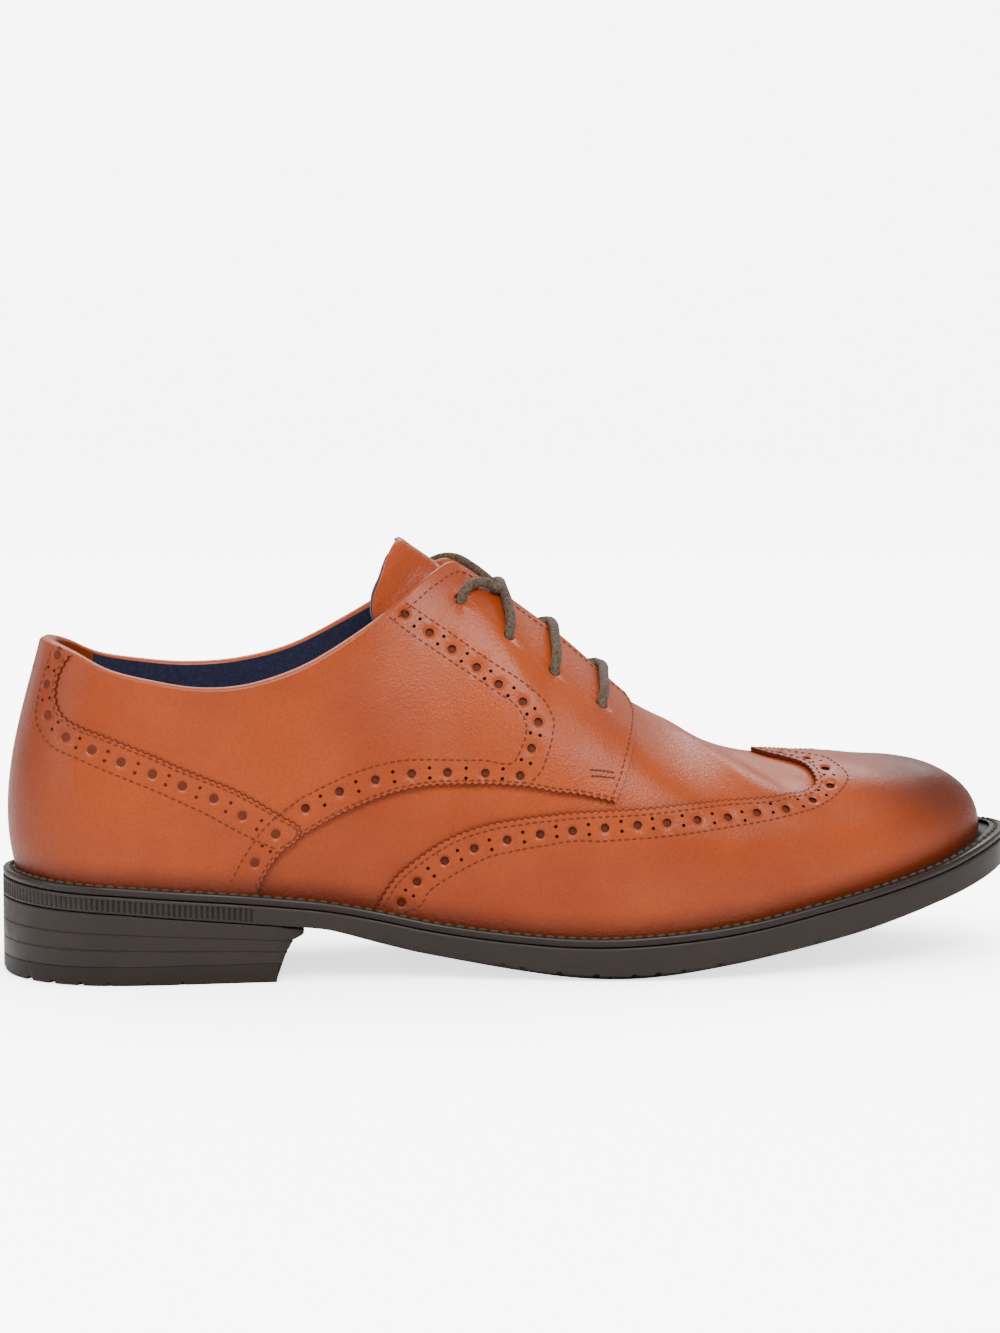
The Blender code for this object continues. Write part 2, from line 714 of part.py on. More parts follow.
def build_tongue():
    """A leaf under the facings that follows the form, then wraps back round the ankle."""
    rows = []
    for share in TONGUE_ROWS:
        sunk = TONGUE_SINK * np.clip((share - 0.62) / 0.05, 0.0, 1.0)
        high = BASE_LIFT - WALL - 2 * GAP - sunk
        rows.append((tongue_under(share, high), tongue_under(share, high - TONGUE_THICK)))
    inward = np.array([-0.62, 0.0, -0.78]) * TONGUE_THICK
    for mid_along, mid_height, edge_along, edge_height, half, twist in TONGUE_TOP:
        row = []
        for b in np.linspace(-1.0, 1.0, len(rows[0][0])):
            x = (mid_along + (edge_along - mid_along) * b * b) * LENGTH
            z = (mid_height + (edge_height - mid_height) * b * b) * UPPER_HEIGHT
            x += TONGUE_TWIST * twist * max(b, 0.0) ** 2
            row.append(np.array([x, b * half * BALL_WIDTH, z]))
        rows.append((row, [p + inward for p in row]))
    rings = [top + low[::-1] for top, low in rows]
    corners, faces = loops(rings, closed_ends=False)
    count = len(rings[0])
    half_count = count // 2
    for start in (0, (len(rings) - 1) * count):
        for j in range(half_count - 1):
            a, b = start + j, start + j + 1
            c, d = start + count - 2 - j, start + count - 1 - j
            faces.append((a, b, c, d))
    make("tongue", corners, faces, LEATHER, 0.45)


def tube(name, centres):
    """A round cord along a short line of points, with flat ends."""
    centres = [np.asarray(c, float) for c in centres]
    rings = []
    for i, centre in enumerate(centres):
        run = centres[min(i + 1, len(centres) - 1)] - centres[max(i - 1, 0)]
        run /= np.linalg.norm(run)
        across = np.cross(run, (1.0, 0.0, 0.0))
        across /= np.linalg.norm(across)
        other = np.cross(run, across)
        ring = []
        for k in range(LACE_SIDES):
            a = 2 * math.pi * k / LACE_SIDES
            ring.append(centre + LACE_DIAMETER / 2 * (math.cos(a) * across + math.sin(a) * other))
        rings.append(ring)
    corners, faces = loops(rings)
    return make(name, corners, faces, CORD, 0.8)


def over_ridge(share, height):
    """A point that far above the middle of the throat."""
    ridge = (form(-1, share, 1.0) + form(1, share, 1.0)) / 2
    up = form(-1, share, 1.0, 1.0) - form(-1, share, 1.0)
    up[1] = 0.0
    return ridge + up / np.linalg.norm(up) * height


def strand(side, index, rise_over):
    """From an eyelet over its facing and the ridge, down inside the other facing's edge."""
    share, rise = EYELETS[index]
    ahead = LACE_AHEAD[index]
    above = LACE_DIAMETER / 2 + LACE_CLEAR
    line = [
        form(side, share, rise, above),
        form(side, share + 0.35 * ahead, rise + (1.0 - rise) * 0.35, above + 0.1),
        form(side, share + 0.80 * ahead, rise + (1.0 - rise) * 0.75, above + 0.2),
        form(side, share + ahead, 1.0, above + 0.3),
        over_ridge(share + 0.85 * ahead, above + rise_over),
    ]
    beyond = np.array([0.0, side * LACE_DIAMETER * 0.8, 0.0])
    line.append(form(-side, share + 0.62 * ahead, 1.0, -0.2) + beyond)
    line.append(form(-side, share + 0.54 * ahead, 1.0, -1.0) + beyond)
    return line


def lace_end(side):
    """From a top eyelet forward over its facing to the crossing ahead of it."""
    share, rise = EYELETS[0]
    ahead = LACE_AHEAD[0]
    above = LACE_DIAMETER / 2 + LACE_CLEAR
    return [
        form(side, share, rise, above),
        form(side, share + 0.4 * ahead, rise + (1.0 - rise) * 0.45, above + 0.1),
        form(side, share + ahead, 1.0, above + 0.2),
        over_ridge(EYELETS[1][0] + 0.85 * LACE_AHEAD[1], above + 0.3),
    ]


def build_laces():
    for name, index in (("lace_low", 3), ("lace_mid", 2), ("lace_top", 1)):
        joined = tube(name, strand(-1, index, 0.9))
        cut(joined, tube(name + "_under", strand(1, index, -0.4)), "UNION")
        if name == "lace_top":
            for side, label in ((-1, "outer"), (1, "inner")):
                cut(joined, tube("lace_end_" + label, lace_end(side)), "UNION")


for thing in list(bpy.data.objects):
    bpy.data.objects.remove(thing, do_unlink=True)
build_outsole()
build_heel()
build_plates()
build_upper()
build_tongue()
build_laces()
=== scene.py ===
"""The looks of the brogue shoe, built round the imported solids.

Millimetres in the tables and functions, metres in the meshes. A point of the upper is given by its
share of the way round the sole, back to toe, and its rise up the rib, welt to top.
"""

import math

import bmesh
import bpy
import numpy as np
from mathutils import Matrix, Vector


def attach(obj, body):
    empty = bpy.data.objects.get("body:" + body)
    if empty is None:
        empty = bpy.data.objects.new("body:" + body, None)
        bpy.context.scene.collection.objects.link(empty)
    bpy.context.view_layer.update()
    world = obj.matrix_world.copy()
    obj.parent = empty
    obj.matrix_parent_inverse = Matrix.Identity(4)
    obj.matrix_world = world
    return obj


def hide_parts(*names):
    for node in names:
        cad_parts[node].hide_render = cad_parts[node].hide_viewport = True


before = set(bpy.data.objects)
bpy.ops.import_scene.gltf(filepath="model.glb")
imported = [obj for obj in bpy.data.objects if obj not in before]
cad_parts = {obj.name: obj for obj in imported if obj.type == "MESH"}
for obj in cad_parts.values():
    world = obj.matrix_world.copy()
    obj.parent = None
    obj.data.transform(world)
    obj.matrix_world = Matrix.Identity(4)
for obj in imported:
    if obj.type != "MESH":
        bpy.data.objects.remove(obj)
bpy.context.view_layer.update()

MM = 0.001
GAP = 0.3
TINY = 1e-6

# The shoe's own sizes
LENGTH = 304.0
HEEL_CENTRE = 34.0
BALL_WIDTH = 98.0
TOE_SWING = 2.0
UPPER_HEIGHT = 119.4
SOLE_HEIGHT = 28.6

WELT_SHOW = 4.2
TOE_SHOW = 8.0
WELT_THICK = 2.3
WALL = 2.2
INSOLE_THICK = 3.0
OVERLAY_THICK = 1.1
COUNTER_THICK = 1.6
MEDIAL_RISE = 1.5
MEDIAL_AT = 62.0
MEDIAL_SPREAD = 22.0

RIB_PITCH = 1.6
RIB_DEPTH = 0.5

HEEL_BREAST = 77.5
BREAST_FLARE = 8.5
LIFT_THICK = 5.6

TREAD_DROP = 1.6
TREAD_INSET = 5.0
SPRING_RUN = 40.0

EYELET_DIAMETER = 3.6
LACE_DIAMETER = 3.0

TONGUE_TWIST = 8.0
TONGUE_SINK = 0.8

# Outline of the sole from above: along is a share of LENGTH, outer and inner are shares of
# BALL_WIDTH measured to each side of the swung centre line.
OUTLINE = (
    # along, outer, inner
    (0.0000, 0.000, 0.000),
    (0.0088, 0.131, 0.129),
    (0.0345, 0.243, 0.239),
    (0.0730, 0.316, 0.311),
    (0.1180, 0.343, 0.335),
    (0.1900, 0.347, 0.323),
    (0.2630, 0.347, 0.301),
    (0.3290, 0.350, 0.290),
    (0.3950, 0.373, 0.297),
    (0.4610, 0.419, 0.328),
    (0.5260, 0.469, 0.379),
    (0.5920, 0.505, 0.430),
    (0.6450, 0.517, 0.464),
    (0.6980, 0.511, 0.482),
    (0.7500, 0.484, 0.476),
    (0.8090, 0.444, 0.450),
    (0.8620, 0.394, 0.406),
    (0.9080, 0.336, 0.349),
    (0.9440, 0.272, 0.285),
    (0.9737, 0.193, 0.203),
    (0.9928, 0.105, 0.111),
    (1.0000, 0.000, 0.000),
)

# Side view of the sole's edge: heights are shares of SOLE_HEIGHT.
SOLE_EDGE = (
    # along, top, bottom
    (0.000, 0.992, 0.801),
    (0.033, 0.958, 0.780),
    (0.099, 0.917, 0.741),
    (0.164, 0.860, 0.675),
    (0.253, 0.773, 0.584),
    (0.306, 0.704, 0.522),
    (0.354, 0.605, 0.400),
    (0.400, 0.499, 0.294),
    (0.447, 0.424, 0.202),
    (0.493, 0.374, 0.125),
    (0.539, 0.344, 0.070),
    (0.587, 0.348, 0.057),
    (0.635, 0.383, 0.094),
    (0.678, 0.430, 0.156),
    (0.727, 0.505, 0.234),
    (0.780, 0.612, 0.330),
    (0.834, 0.727, 0.438),
    (0.888, 0.855, 0.573),
    (0.923, 0.950, 0.668),
    (0.947, 1.030, 0.743),
    (0.974, 1.122, 0.835),
    (1.000, 1.200, 0.925),
)

# The ribs of the upper: each runs from the welt to the collar, the facing or the ridge. share is
# the distance round the sole from the back to the toe; top_along is a share of LENGTH, top_half of
# BALL_WIDTH, top_height of UPPER_HEIGHT. belly and shoulder are how far the curve keeps its
# direction at the foot and at the top, as shares of the rib; flare is how far it leans out at the
# foot, crown how flat it arrives at the top, in degrees.
RIBS = (
    # share, top_along, top_half, top_height, belly, flare, shoulder, crown
    (0.000, 0.0395, 0.000, 0.819, 0.36, 15, 0.30, 14),
    (0.050, 0.0461, 0.107, 0.817, 0.36, 14, 0.30, 13),
    (0.100, 0.0658, 0.190, 0.797, 0.35, 12, 0.30, 10),
    (0.150, 0.0970, 0.251, 0.757, 0.34, 9, 0.30, 6),
    (0.200, 0.1365, 0.288, 0.732, 0.33, 7, 0.30, 2),
    (0.270, 0.1941, 0.302, 0.712, 0.33, 6, 0.30, 0),
    (0.330, 0.2434, 0.292, 0.725, 0.33, 8, 0.30, 2),
    (0.380, 0.2911, 0.261, 0.765, 0.33, 9, 0.30, 8),
    (0.430, 0.3421, 0.217, 0.838, 0.34, 10, 0.30, 18),
    (0.470, 0.3770, 0.171, 0.898, 0.35, 10, 0.32, 28),
    (0.510, 0.4161, 0.108, 0.973, 0.36, 10, 0.34, 40),
    (0.535, 0.4395, 0.063, 1.000, 0.37, 10, 0.36, 48),
    (0.560, 0.4655, 0.051, 0.963, 0.38, 10, 0.38, 54),
    (0.600, 0.5115, 0.051, 0.879, 0.40, 10, 0.40, 60),
    (0.640, 0.5536, 0.051, 0.796, 0.42, 10, 0.42, 64),
    (0.680, 0.5954, 0.051, 0.700, 0.44, 10, 0.44, 70),
    (0.705, 0.6204, 0.037, 0.648, 0.45, 10, 0.46, 76),
    (0.720, 0.6336, 0.000, 0.630, 0.46, 9, 0.47, 80),
    (0.750, 0.6563, 0.000, 0.602, 0.47, 9, 0.48, 84),
    (0.800, 0.6941, 0.000, 0.547, 0.48, 8, 0.50, 88),
    (0.850, 0.7350, 0.000, 0.517, 0.49, 6, 0.50, 90),
    (0.900, 0.7802, 0.000, 0.504, 0.44, 2, 0.49, 90),
    (0.950, 0.8201, 0.000, 0.496, 0.43, 1, 0.48, 90),
    (1.000, 0.8589, 0.000, 0.493, 0.37, 3, 0.44, 90),
)
THROAT_SHARE = 0.720

# Tongue above the facings: middle and edge points; along is a share of LENGTH, heights are shares
# of UPPER_HEIGHT, half is a share of BALL_WIDTH.
TONGUE_TOP = (
    # mid_along, mid_height, edge_along, edge_height, half, twist
    (0.4240, 0.999, 0.3960, 0.805, 0.138, 0.30),
    (0.4161, 1.013, 0.3620, 0.855, 0.128, 0.60),
    (0.4079, 1.028, 0.3570, 0.909, 0.120, 0.85),
    (0.3997, 1.042, 0.3650, 0.966, 0.106, 0.80),
    (0.3931, 1.055, 0.3750, 1.027, 0.071, 0.50),
    (0.3882, 1.062, 0.3856, 1.060, 0.015, 0.10),
)
TONGUE_ROWS = (0.775, 0.750, THROAT_SHARE, 0.700, 0.670, 0.640, 0.610, 0.585, 0.560, 0.535)


# The form of the last
def blend(xs, ys, x):
    """A smooth curve through the rows of a table, read at x."""
    xs = np.asarray(xs, float)
    ys = np.asarray(ys, float)
    x = np.clip(np.asarray(x, float), xs[0], xs[-1])
    steps = np.diff(xs)
    rises = np.diff(ys) / steps
    slopes = np.empty_like(ys)
    slopes[1:-1] = (rises[:-1] * steps[1:] + rises[1:] * steps[:-1]) / (steps[:-1] + steps[1:])
    slopes[0] = rises[0]
    slopes[-1] = rises[-1]
    i = np.clip(np.searchsorted(xs, x, side="right") - 1, 0, len(xs) - 2)
    t = (x - xs[i]) / steps[i]
    a = (2 * t**3 - 3 * t**2 + 1) * ys[i]
    b = (t**3 - 2 * t**2 + t) * slopes[i] * steps[i]
    c = (3 * t**2 - 2 * t**3) * ys[i + 1]
    d = (t**3 - t**2) * slopes[i + 1] * steps[i]
    return a + b + c + d


def swing(station):
    return TOE_SWING * (np.asarray(station, float) / LENGTH) ** 3


def sole_top(station):
    rows = np.array(SOLE_EDGE)
    return blend(rows[:, 0] * LENGTH, rows[:, 1] * SOLE_HEIGHT, station)


def sole_bottom(station):
    rows = np.array(SOLE_EDGE)
    return blend(rows[:, 0] * LENGTH, rows[:, 2] * SOLE_HEIGHT, station)


EDGE_POINTS = 1601


def edge_curve(side):
    """Dense points of one side of the sole's outline, back to toe, with their outward direction."""
    rows = np.array(OUTLINE)
    halves = {}
    for key, column in ((-1, 1), (1, 2)):
        x = rows[:, 0] * LENGTH
        halves[key] = np.stack([x, key * rows[:, column] * BALL_WIDTH + swing(x)], 1)
    outer = halves[-1]
    inner = halves[1][-2:0:-1]
    loop = np.concatenate([inner, outer, inner, outer[:4]])
    chord = np.concatenate([[0.0], np.cumsum(np.linalg.norm(np.diff(loop, axis=0), axis=1))])
    back = len(inner)
    tip = back + len(outer) - 1
    round_again = tip + len(inner) + 1
    if side < 0:
        fine = np.linspace(chord[back], chord[tip], EDGE_POINTS)
    else:
        fine = np.linspace(chord[round_again], chord[tip], EDGE_POINTS)
    xy = np.stack([blend(chord, loop[:, 0], fine), blend(chord, loop[:, 1], fine)], 1)
    run = np.gradient(xy, axis=0)
    out = np.stack([side * -run[:, 1], side * run[:, 0]], 1)
    out /= np.linalg.norm(out, axis=1)[:, None]
    arc = np.concatenate([[0.0], np.cumsum(np.linalg.norm(np.diff(xy, axis=0), axis=1))])
    return arc / arc[-1], xy, out, arc[-1]


CURVES = {side: edge_curve(side) for side in (-1, 1)}


def edge(side, share, inset=0.0):
    """Point and outward direction of the sole's outline at a share of the way round."""
    shares, xy, out, _ = CURVES[side]
    ox = np.interp(share, shares, out[:, 0])
    oy = np.interp(share, shares, out[:, 1])
    x = np.interp(share, shares, xy[:, 0]) - inset * ox
    y = np.interp(share, shares, xy[:, 1]) - inset * oy
    return x, y, ox, oy


# How far to each side of a rib the top line's slope is read, and the steepest slope that counts.
NEAR = 0.02
STEEPEST = 1.2
# Step along share or rise that gives the form's directions.
NUDGE = 0.004


def rib(side, share, rise):
    """Point of the last's outer form: share round the sole, rise 0 at the welt and 1 at the top."""
    share = np.asarray(share, float)
    rise = np.asarray(rise, float)
    rows = np.array(RIBS)
    keys = rows[:, 0]
    toe = np.clip((share - 0.5) / 0.5, 0.0, 1.0) ** 2
    fx, fy, ox, oy = edge(side, share, WELT_SHOW + (TOE_SHOW - WELT_SHOW) * toe)
    foot = np.stack([fx, fy, sole_top(fx) + WELT_THICK + 2 * GAP], -1)
    along = blend(keys, rows[:, 1] * LENGTH, share)
    half = np.maximum(blend(keys, rows[:, 2] * BALL_WIDTH, share), 0.0)
    half = np.where(share >= THROAT_SHARE, 0.0, half)
    height = blend(keys, rows[:, 3] * UPPER_HEIGHT, share)
    if side > 0:
        height = height + MEDIAL_RISE * np.exp(-(((along - MEDIAL_AT) / MEDIAL_SPREAD) ** 2))
    top = np.stack([along, side * half + swing(along), height], -1)
    before = np.clip(share, NEAR, 1.0 - NEAR) - NEAR
    after = before + 2 * NEAR
    dx = (blend(keys, rows[:, 1], after) - blend(keys, rows[:, 1], before)) * LENGTH
    dz = (blend(keys, rows[:, 3], after) - blend(keys, rows[:, 3], before)) * UPPER_HEIGHT
    slope = np.clip(dz / np.maximum(dx, 1.0), -STEEPEST, STEEPEST)
    chord = np.linalg.norm(top - foot, axis=-1)
    flare = np.radians(blend(keys, rows[:, 5], share))
    crown = np.radians(blend(keys, rows[:, 7], share))
    belly = chord * blend(keys, rows[:, 4], share)
    shoulder = chord * blend(keys, rows[:, 6], share)
    outward = np.stack([np.sin(flare) * ox, np.sin(flare) * oy, np.cos(flare)], -1)
    first = foot + outward * belly[..., None]
    level = foot[..., :2] - top[..., :2]
    level = level / np.maximum(np.linalg.norm(level, axis=-1), TINY)[..., None]
    lean = np.sin(crown)
    fall = -np.cos(crown) + slope * level[..., 0] * lean**3
    second = top + np.stack([level[..., 0] * lean, level[..., 1] * lean, fall], -1) * shoulder[..., None]
    t = rise[..., None]
    return (1 - t) ** 3 * foot + 3 * (1 - t) ** 2 * t * first + 3 * (1 - t) * t**2 * second + t**3 * top


def form(side, share, rise, lift=0.0):
    """The form moved out by lift along its own normal."""
    share, rise = np.broadcast_arrays(np.asarray(share, float), np.asarray(rise, float))
    here = rib(side, share, rise)
    du = rib(side, np.clip(share + NUDGE, 0, 1), rise) - rib(side, np.clip(share - NUDGE, 0, 1), rise)
    dv = rib(side, share, np.clip(rise + NUDGE, 0, 1)) - rib(side, share, np.clip(rise - NUDGE, 0, 1))
    n = np.cross(du, dv) * -side
    ends = (share < TINY) | (share > 1 - TINY)
    ridge = (rise > 1 - TINY) & (share > THROAT_SHARE - TINY) & ~ends
    flat = np.zeros_like(share)
    at_end = np.stack([dv[..., 2], flat, -dv[..., 0]], -1) * np.where(share > 0.5, 1.0, -1.0)[..., None]
    at_ridge = np.stack([-du[..., 2], flat, du[..., 0]], -1)
    n = np.where(ends[..., None], at_end, np.where(ridge[..., None], at_ridge, n))
    n = n / np.maximum(np.linalg.norm(n, axis=-1), 1e-9)[..., None]
    return here + n * lift


# Lines on the leather of each side, read off the photograph: share round the sole, rise up the rib.
# A line that runs on under the welt ends at UNDER.
UNDER = -0.02
WING_EDGE = (
    # share, rise
    (0.3620, UNDER), (0.3676, 0.0382), (0.3844, 0.1487), (0.4049, 0.2186), (0.4172, 0.2491),
    (0.4405, 0.2885), (0.4713, 0.3083), (0.5000, 0.3001), (0.5282, 0.2950), (0.5631, 0.3255),
    (0.5748, 0.3337), (0.5866, 0.3425), (0.5987, 0.3523), (0.6130, 0.3656), (0.6281, 0.3834),
    (0.6440, 0.4078), (0.6612, 0.4386), (0.6790, 0.4691), (0.6954, 0.4850), (0.7068, 0.4793),
    (0.7167, 0.4566), (0.7278, 0.4465), (0.7579, 0.4848), (0.7881, 0.5340), (0.8040, 0.5703),
    (0.8156, 0.6275), (0.8273, 0.6896), (0.8387, 0.7737), (0.8424, 0.8626), (0.8433, 0.9104),
    (0.8475, 0.9450), (0.8575, 1.0),
)
WING_SEAM = (
    # share, rise
    (0.3857, 0.0108), (0.3998, 0.0465), (0.4096, 0.1072), (0.4261, 0.1544), (0.4449, 0.1917),
    (0.4649, 0.2177), (0.4902, 0.2251), (0.5192, 0.2260), (0.5505, 0.2387), (0.5828, 0.2553),
    (0.5936, 0.2613), (0.6046, 0.2673), (0.6157, 0.2740), (0.6270, 0.2825), (0.6402, 0.2954),
    (0.6539, 0.3120), (0.6681, 0.3303), (0.6915, 0.3552), (0.7059, 0.3575), (0.7195, 0.3415),
    (0.7341, 0.3442), (0.7474, 0.3563), (0.7622, 0.3782), (0.7786, 0.4108), (0.7962, 0.4424),
    (0.8139, 0.4794), (0.8354, 0.5454), (0.8465, 0.6077), (0.8593, 0.6923), (0.8793, 0.8150),
    (0.8815, 0.8950), (0.8810, 1.0),
)
WING_HOLES = (
    # share, rise
    (0.3844, 0.0454), (0.4004, 0.1369), (0.4272, 0.2133), (0.4543, 0.2469), (0.4824, 0.2574),
    (0.5093, 0.2544), (0.5361, 0.2563), (0.5644, 0.2812), (0.5933, 0.3024), (0.6204, 0.3225),
    (0.6501, 0.3558), (0.6818, 0.3951), (0.7105, 0.4016), (0.7381, 0.3849), (0.7764, 0.4531),
    (0.8101, 0.5254), (0.8390, 0.6637), (0.8605, 0.8086), (0.8660, 0.9250),
)
FACING_EDGE = (
    # share, rise
    (0.6950, 1.0), (0.6845, 0.9287), (0.6475, 0.7481), (0.6131, 0.5635), (0.5879, 0.4147),
    (0.5779, 0.3586),
)
# The quarter's lower edge, from the facing's foot to where the counter covers it.
QUARTER_EDGE = (
    # share, rise
    (0.5779, 0.3586), (0.5599, 0.3617), (0.5279, 0.3487), (0.5054, 0.3756), (0.4727, 0.4221),
    (0.4373, 0.4524), (0.4015, 0.4540), (0.3660, 0.4125), (0.3389, 0.3563), (0.3107, 0.2823),
)
BAND_FRONT = (
    # share, rise
    (0.4796, 0.9929), (0.4949, 0.8555), (0.5089, 0.7413), (0.5212, 0.6764), (0.5363, 0.6316),
    (0.5466, 0.6140), (0.5477, 0.5736), (0.5405, 0.5096), (0.5300, 0.4462), (0.5199, 0.4024),
    (0.5120, 0.3860),
)
BAND_REAR = (
    # share, rise
    (0.4611, 0.9935), (0.4773, 0.8608), (0.4919, 0.7419), (0.5077, 0.6357), (0.5190, 0.5760),
    (0.5214, 0.5333), (0.5181, 0.5021), (0.5092, 0.4638), (0.5048, 0.4494), (0.4792, 0.4882),
    (0.4419, 0.5374), (0.4123, 0.5628), (0.3805, 0.5567), (0.3551, 0.5229), (0.3272, 0.4717),
)
# The same seam where it runs on over the counter.
BAND_ON_COUNTER = (
    # share, rise
    (0.3272, 0.4717), (0.3057, 0.4102), (0.2893, 0.3591), (0.2698, 0.2686), (0.2538, 0.1654),
    (0.2406, 0.0475),
)
QUARTER_HOLES = (
    # share, rise
    (0.4755, 0.9640), (0.4851, 0.8701), (0.4934, 0.7916), (0.5031, 0.7121), (0.5127, 0.6462),
    (0.5255, 0.5879), (0.5319, 0.5349), (0.5191, 0.4668), (0.5046, 0.4089), (0.4804, 0.4487),
    (0.4531, 0.4845), (0.4253, 0.5092), (0.3968, 0.5189), (0.3643, 0.4941), (0.3277, 0.4258),
)
COUNTER_EDGE = (
    # share, rise
    (0.1010, 1.0), (0.0906, 0.9464), (0.0802, 0.8515), (0.0809, 0.7712), (0.0917, 0.7143),
    (0.1112, 0.6915), (0.1380, 0.6873), (0.1662, 0.6713), (0.1928, 0.6440), (0.2179, 0.6058),
    (0.2416, 0.5690), (0.2642, 0.5279), (0.2842, 0.4687), (0.3023, 0.3976), (0.3160, 0.3393),
    (0.3107, 0.2823), (0.2914, 0.2137), (0.2798, 0.1499), (0.2688, 0.0580), (0.2620, UNDER),
)
COUNTER_SEAM = (
    # share, rise
    (0.0600, 0.9750), (0.0492, 0.7320), (0.0519, 0.6681), (0.0640, 0.6102), (0.0833, 0.5619),
    (0.1086, 0.5435), (0.1355, 0.5223), (0.1609, 0.4998), (0.1854, 0.4703), (0.2086, 0.4297),
    (0.2301, 0.3851), (0.2503, 0.3249), (0.2698, 0.2686), (0.2857, 0.2303),
)
COUNTER_HOLES = (
    # share, rise
    (0.0725, 0.9692), (0.0595, 0.8211), (0.0695, 0.6927), (0.0955, 0.6210), (0.1256, 0.5999),
    (0.1563, 0.5780), (0.1878, 0.5470), (0.2162, 0.5077), (0.2440, 0.4607), (0.2657, 0.3846),
    (0.2902, 0.3019), (0.2643, 0.1552),
)
EYELETS = (
    # share, rise
    (0.518, 0.897), (0.545, 0.800), (0.578, 0.770), (0.614, 0.740),
)
# How far ahead of its eyelet each strand reaches the edge of the facing.
LACE_AHEAD = (0.036, 0.036, 0.045, 0.056)

# The top of the main leather, under the pieces laid on it, and how far the counter stands proud.
BASE_LIFT = -(OVERLAY_THICK + GAP)
COUNTER_PROUD = COUNTER_THICK - OVERLAY_THICK

# Pinked edges: length of a tooth, its depth, and the width of the dark band of cut face and painted shade.
TEETH = 2.05
TOOTH = 0.7
CUT_WIDE = 0.34

# Holes: radius of the big ones, the dished ring round them and its depth, radius of the small
# ones and how far they stand from the middle of the band.
BIG_HOLE = 1.3
DISH = 0.9
DIMPLE = 0.5
SMALL_HOLE = 0.55
SMALL_APART = 1.45
EYELET_LIP = 0.35
RING_POINTS = 16
PIN_POINTS = 8

STITCH_PITCH = 2.15
STITCH_LONG = 1.55
STITCH_WIDE = 0.5
STITCH_INSET = 1.5
WELT_STITCH_PITCH = 3.3
HEEL_LINING_END = 28.6
FOOT_TUCK = 1.2
FINE = 2

# Millimetres to one share and one rise in the flat chart that the leather is cut in, about the
# shoe's own, and the spacing of the cuts that let a piece bend.
ACROSS = 340.0
UP = 90.0
CELL = 4.0
OFF_CELL = 0.0037


def place(point):
    """A point in station millimetres as it stands in the row's frame, in metres."""
    return Vector(((point[0] - HEEL_CENTRE) * MM, point[1] * MM, point[2] * MM))


def settle(mesh, points):
    """Moves every vertex of the mesh to its place, from station millimetres."""
    for vertex, point in zip(mesh.verts, points):
        vertex.co = place(point)


def finish_piece(name, mesh, materials, replaces=(), sharp=40.0):
    """Makes the mesh a smooth shaded piece on the shoe's one body."""
    mesh.normal_update()
    data = bpy.data.meshes.new(name)
    mesh.to_mesh(data)
    mesh.free()
    for polygon in data.polygons:
        polygon.use_smooth = True
    if sharp:
        data.set_sharp_from_angle(angle=math.radians(sharp))
    piece = bpy.data.objects.new(name, data)
    bpy.context.scene.collection.objects.link(piece)
    for made in materials:
        data.materials.append(made)
    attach(piece, "root")
    if replaces:
        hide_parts(*replaces)
    return piece


# Surface walking
def frame_at(side, share, rise):
    """Point, the two directions of the table's columns and the outward normal, per unit."""
    share = np.clip(share, NUDGE, 1 - NUDGE)
    rise = np.clip(rise, NUDGE, 1 - NUDGE)
    here = form(side, share, rise)
    du = (form(side, share + NUDGE, rise) - form(side, share - NUDGE, rise)) / (2 * NUDGE)
    dv = (form(side, share, rise + NUDGE) - form(side, share, rise - NUDGE)) / (2 * NUDGE)
    n = np.cross(du, dv) * -side
    n /= np.linalg.norm(n, axis=-1)[..., None]
    return here, du, dv, n


def step(side, share, rise, move):
    """Share and rise after moving by a vector in the surface, in millimetres."""
    _, du, dv, _ = frame_at(side, share, rise)
    a = (du * du).sum(-1)
    b = (du * dv).sum(-1)
    c = (dv * dv).sum(-1)
    p = (du * move).sum(-1)
    q = (dv * move).sum(-1)
    det = a * c - b * b
    return share + (p * c - q * b) / det, rise + (q * a - p * b) / det


LINE_POINTS = 600


def smooth_line(rows):
    """A smooth dense line through table rows."""
    rows = np.array(rows, float)
    t = np.concatenate([[0.0], np.cumsum(np.hypot(np.diff(rows[:, 0]) * ACROSS, np.diff(rows[:, 1]) * UP))])
    fine = np.linspace(0.0, t[-1], LINE_POINTS)
    return np.stack([blend(t, rows[:, 0], fine), blend(t, rows[:, 1], fine)], 1)


def walk(side, rows, pitch, start=0.0, inset=0.0):
    """Evenly spaced shares and rises along a line, moved sideways by inset, with its direction."""
    line = smooth_line(rows)
    points = form(side, line[:, 0], np.clip(line[:, 1], 0, 1))
    arc = np.concatenate([[0.0], np.cumsum(np.linalg.norm(np.diff(points, axis=0), axis=1))])
    count = max(int(round((arc[-1] - 2 * start) / pitch)), 1)
    at = np.linspace(start, arc[-1] - start, count + 1)
    share = np.interp(at, arc, line[:, 0])
    rise = np.interp(at, arc, line[:, 1])
    run = np.stack([np.interp(at, arc, g) for g in np.gradient(points, axis=0).T], 1)
    run /= np.linalg.norm(run, axis=1)[:, None]
    if inset:
        _, _, _, n = frame_at(side, share, np.clip(rise, 0, 1))
        share, rise = step(side, share, rise, np.cross(n, run) * inset)
    return share, rise, run


def pinked(side, rows, depth, shift=0.0):
    """A line with teeth cut along it, moved sideways by shift."""
    share, rise, run = walk(side, rows, TEETH / 2)
    _, _, _, n = frame_at(side, share, np.clip(rise, 0, 1))
    saw = np.where(np.arange(len(share)) % 2 == 0, 0.0, 1.0) * depth + shift
    share, rise = step(side, share, rise, np.cross(n, run) * saw[:, None])
    return list(zip(share, rise))


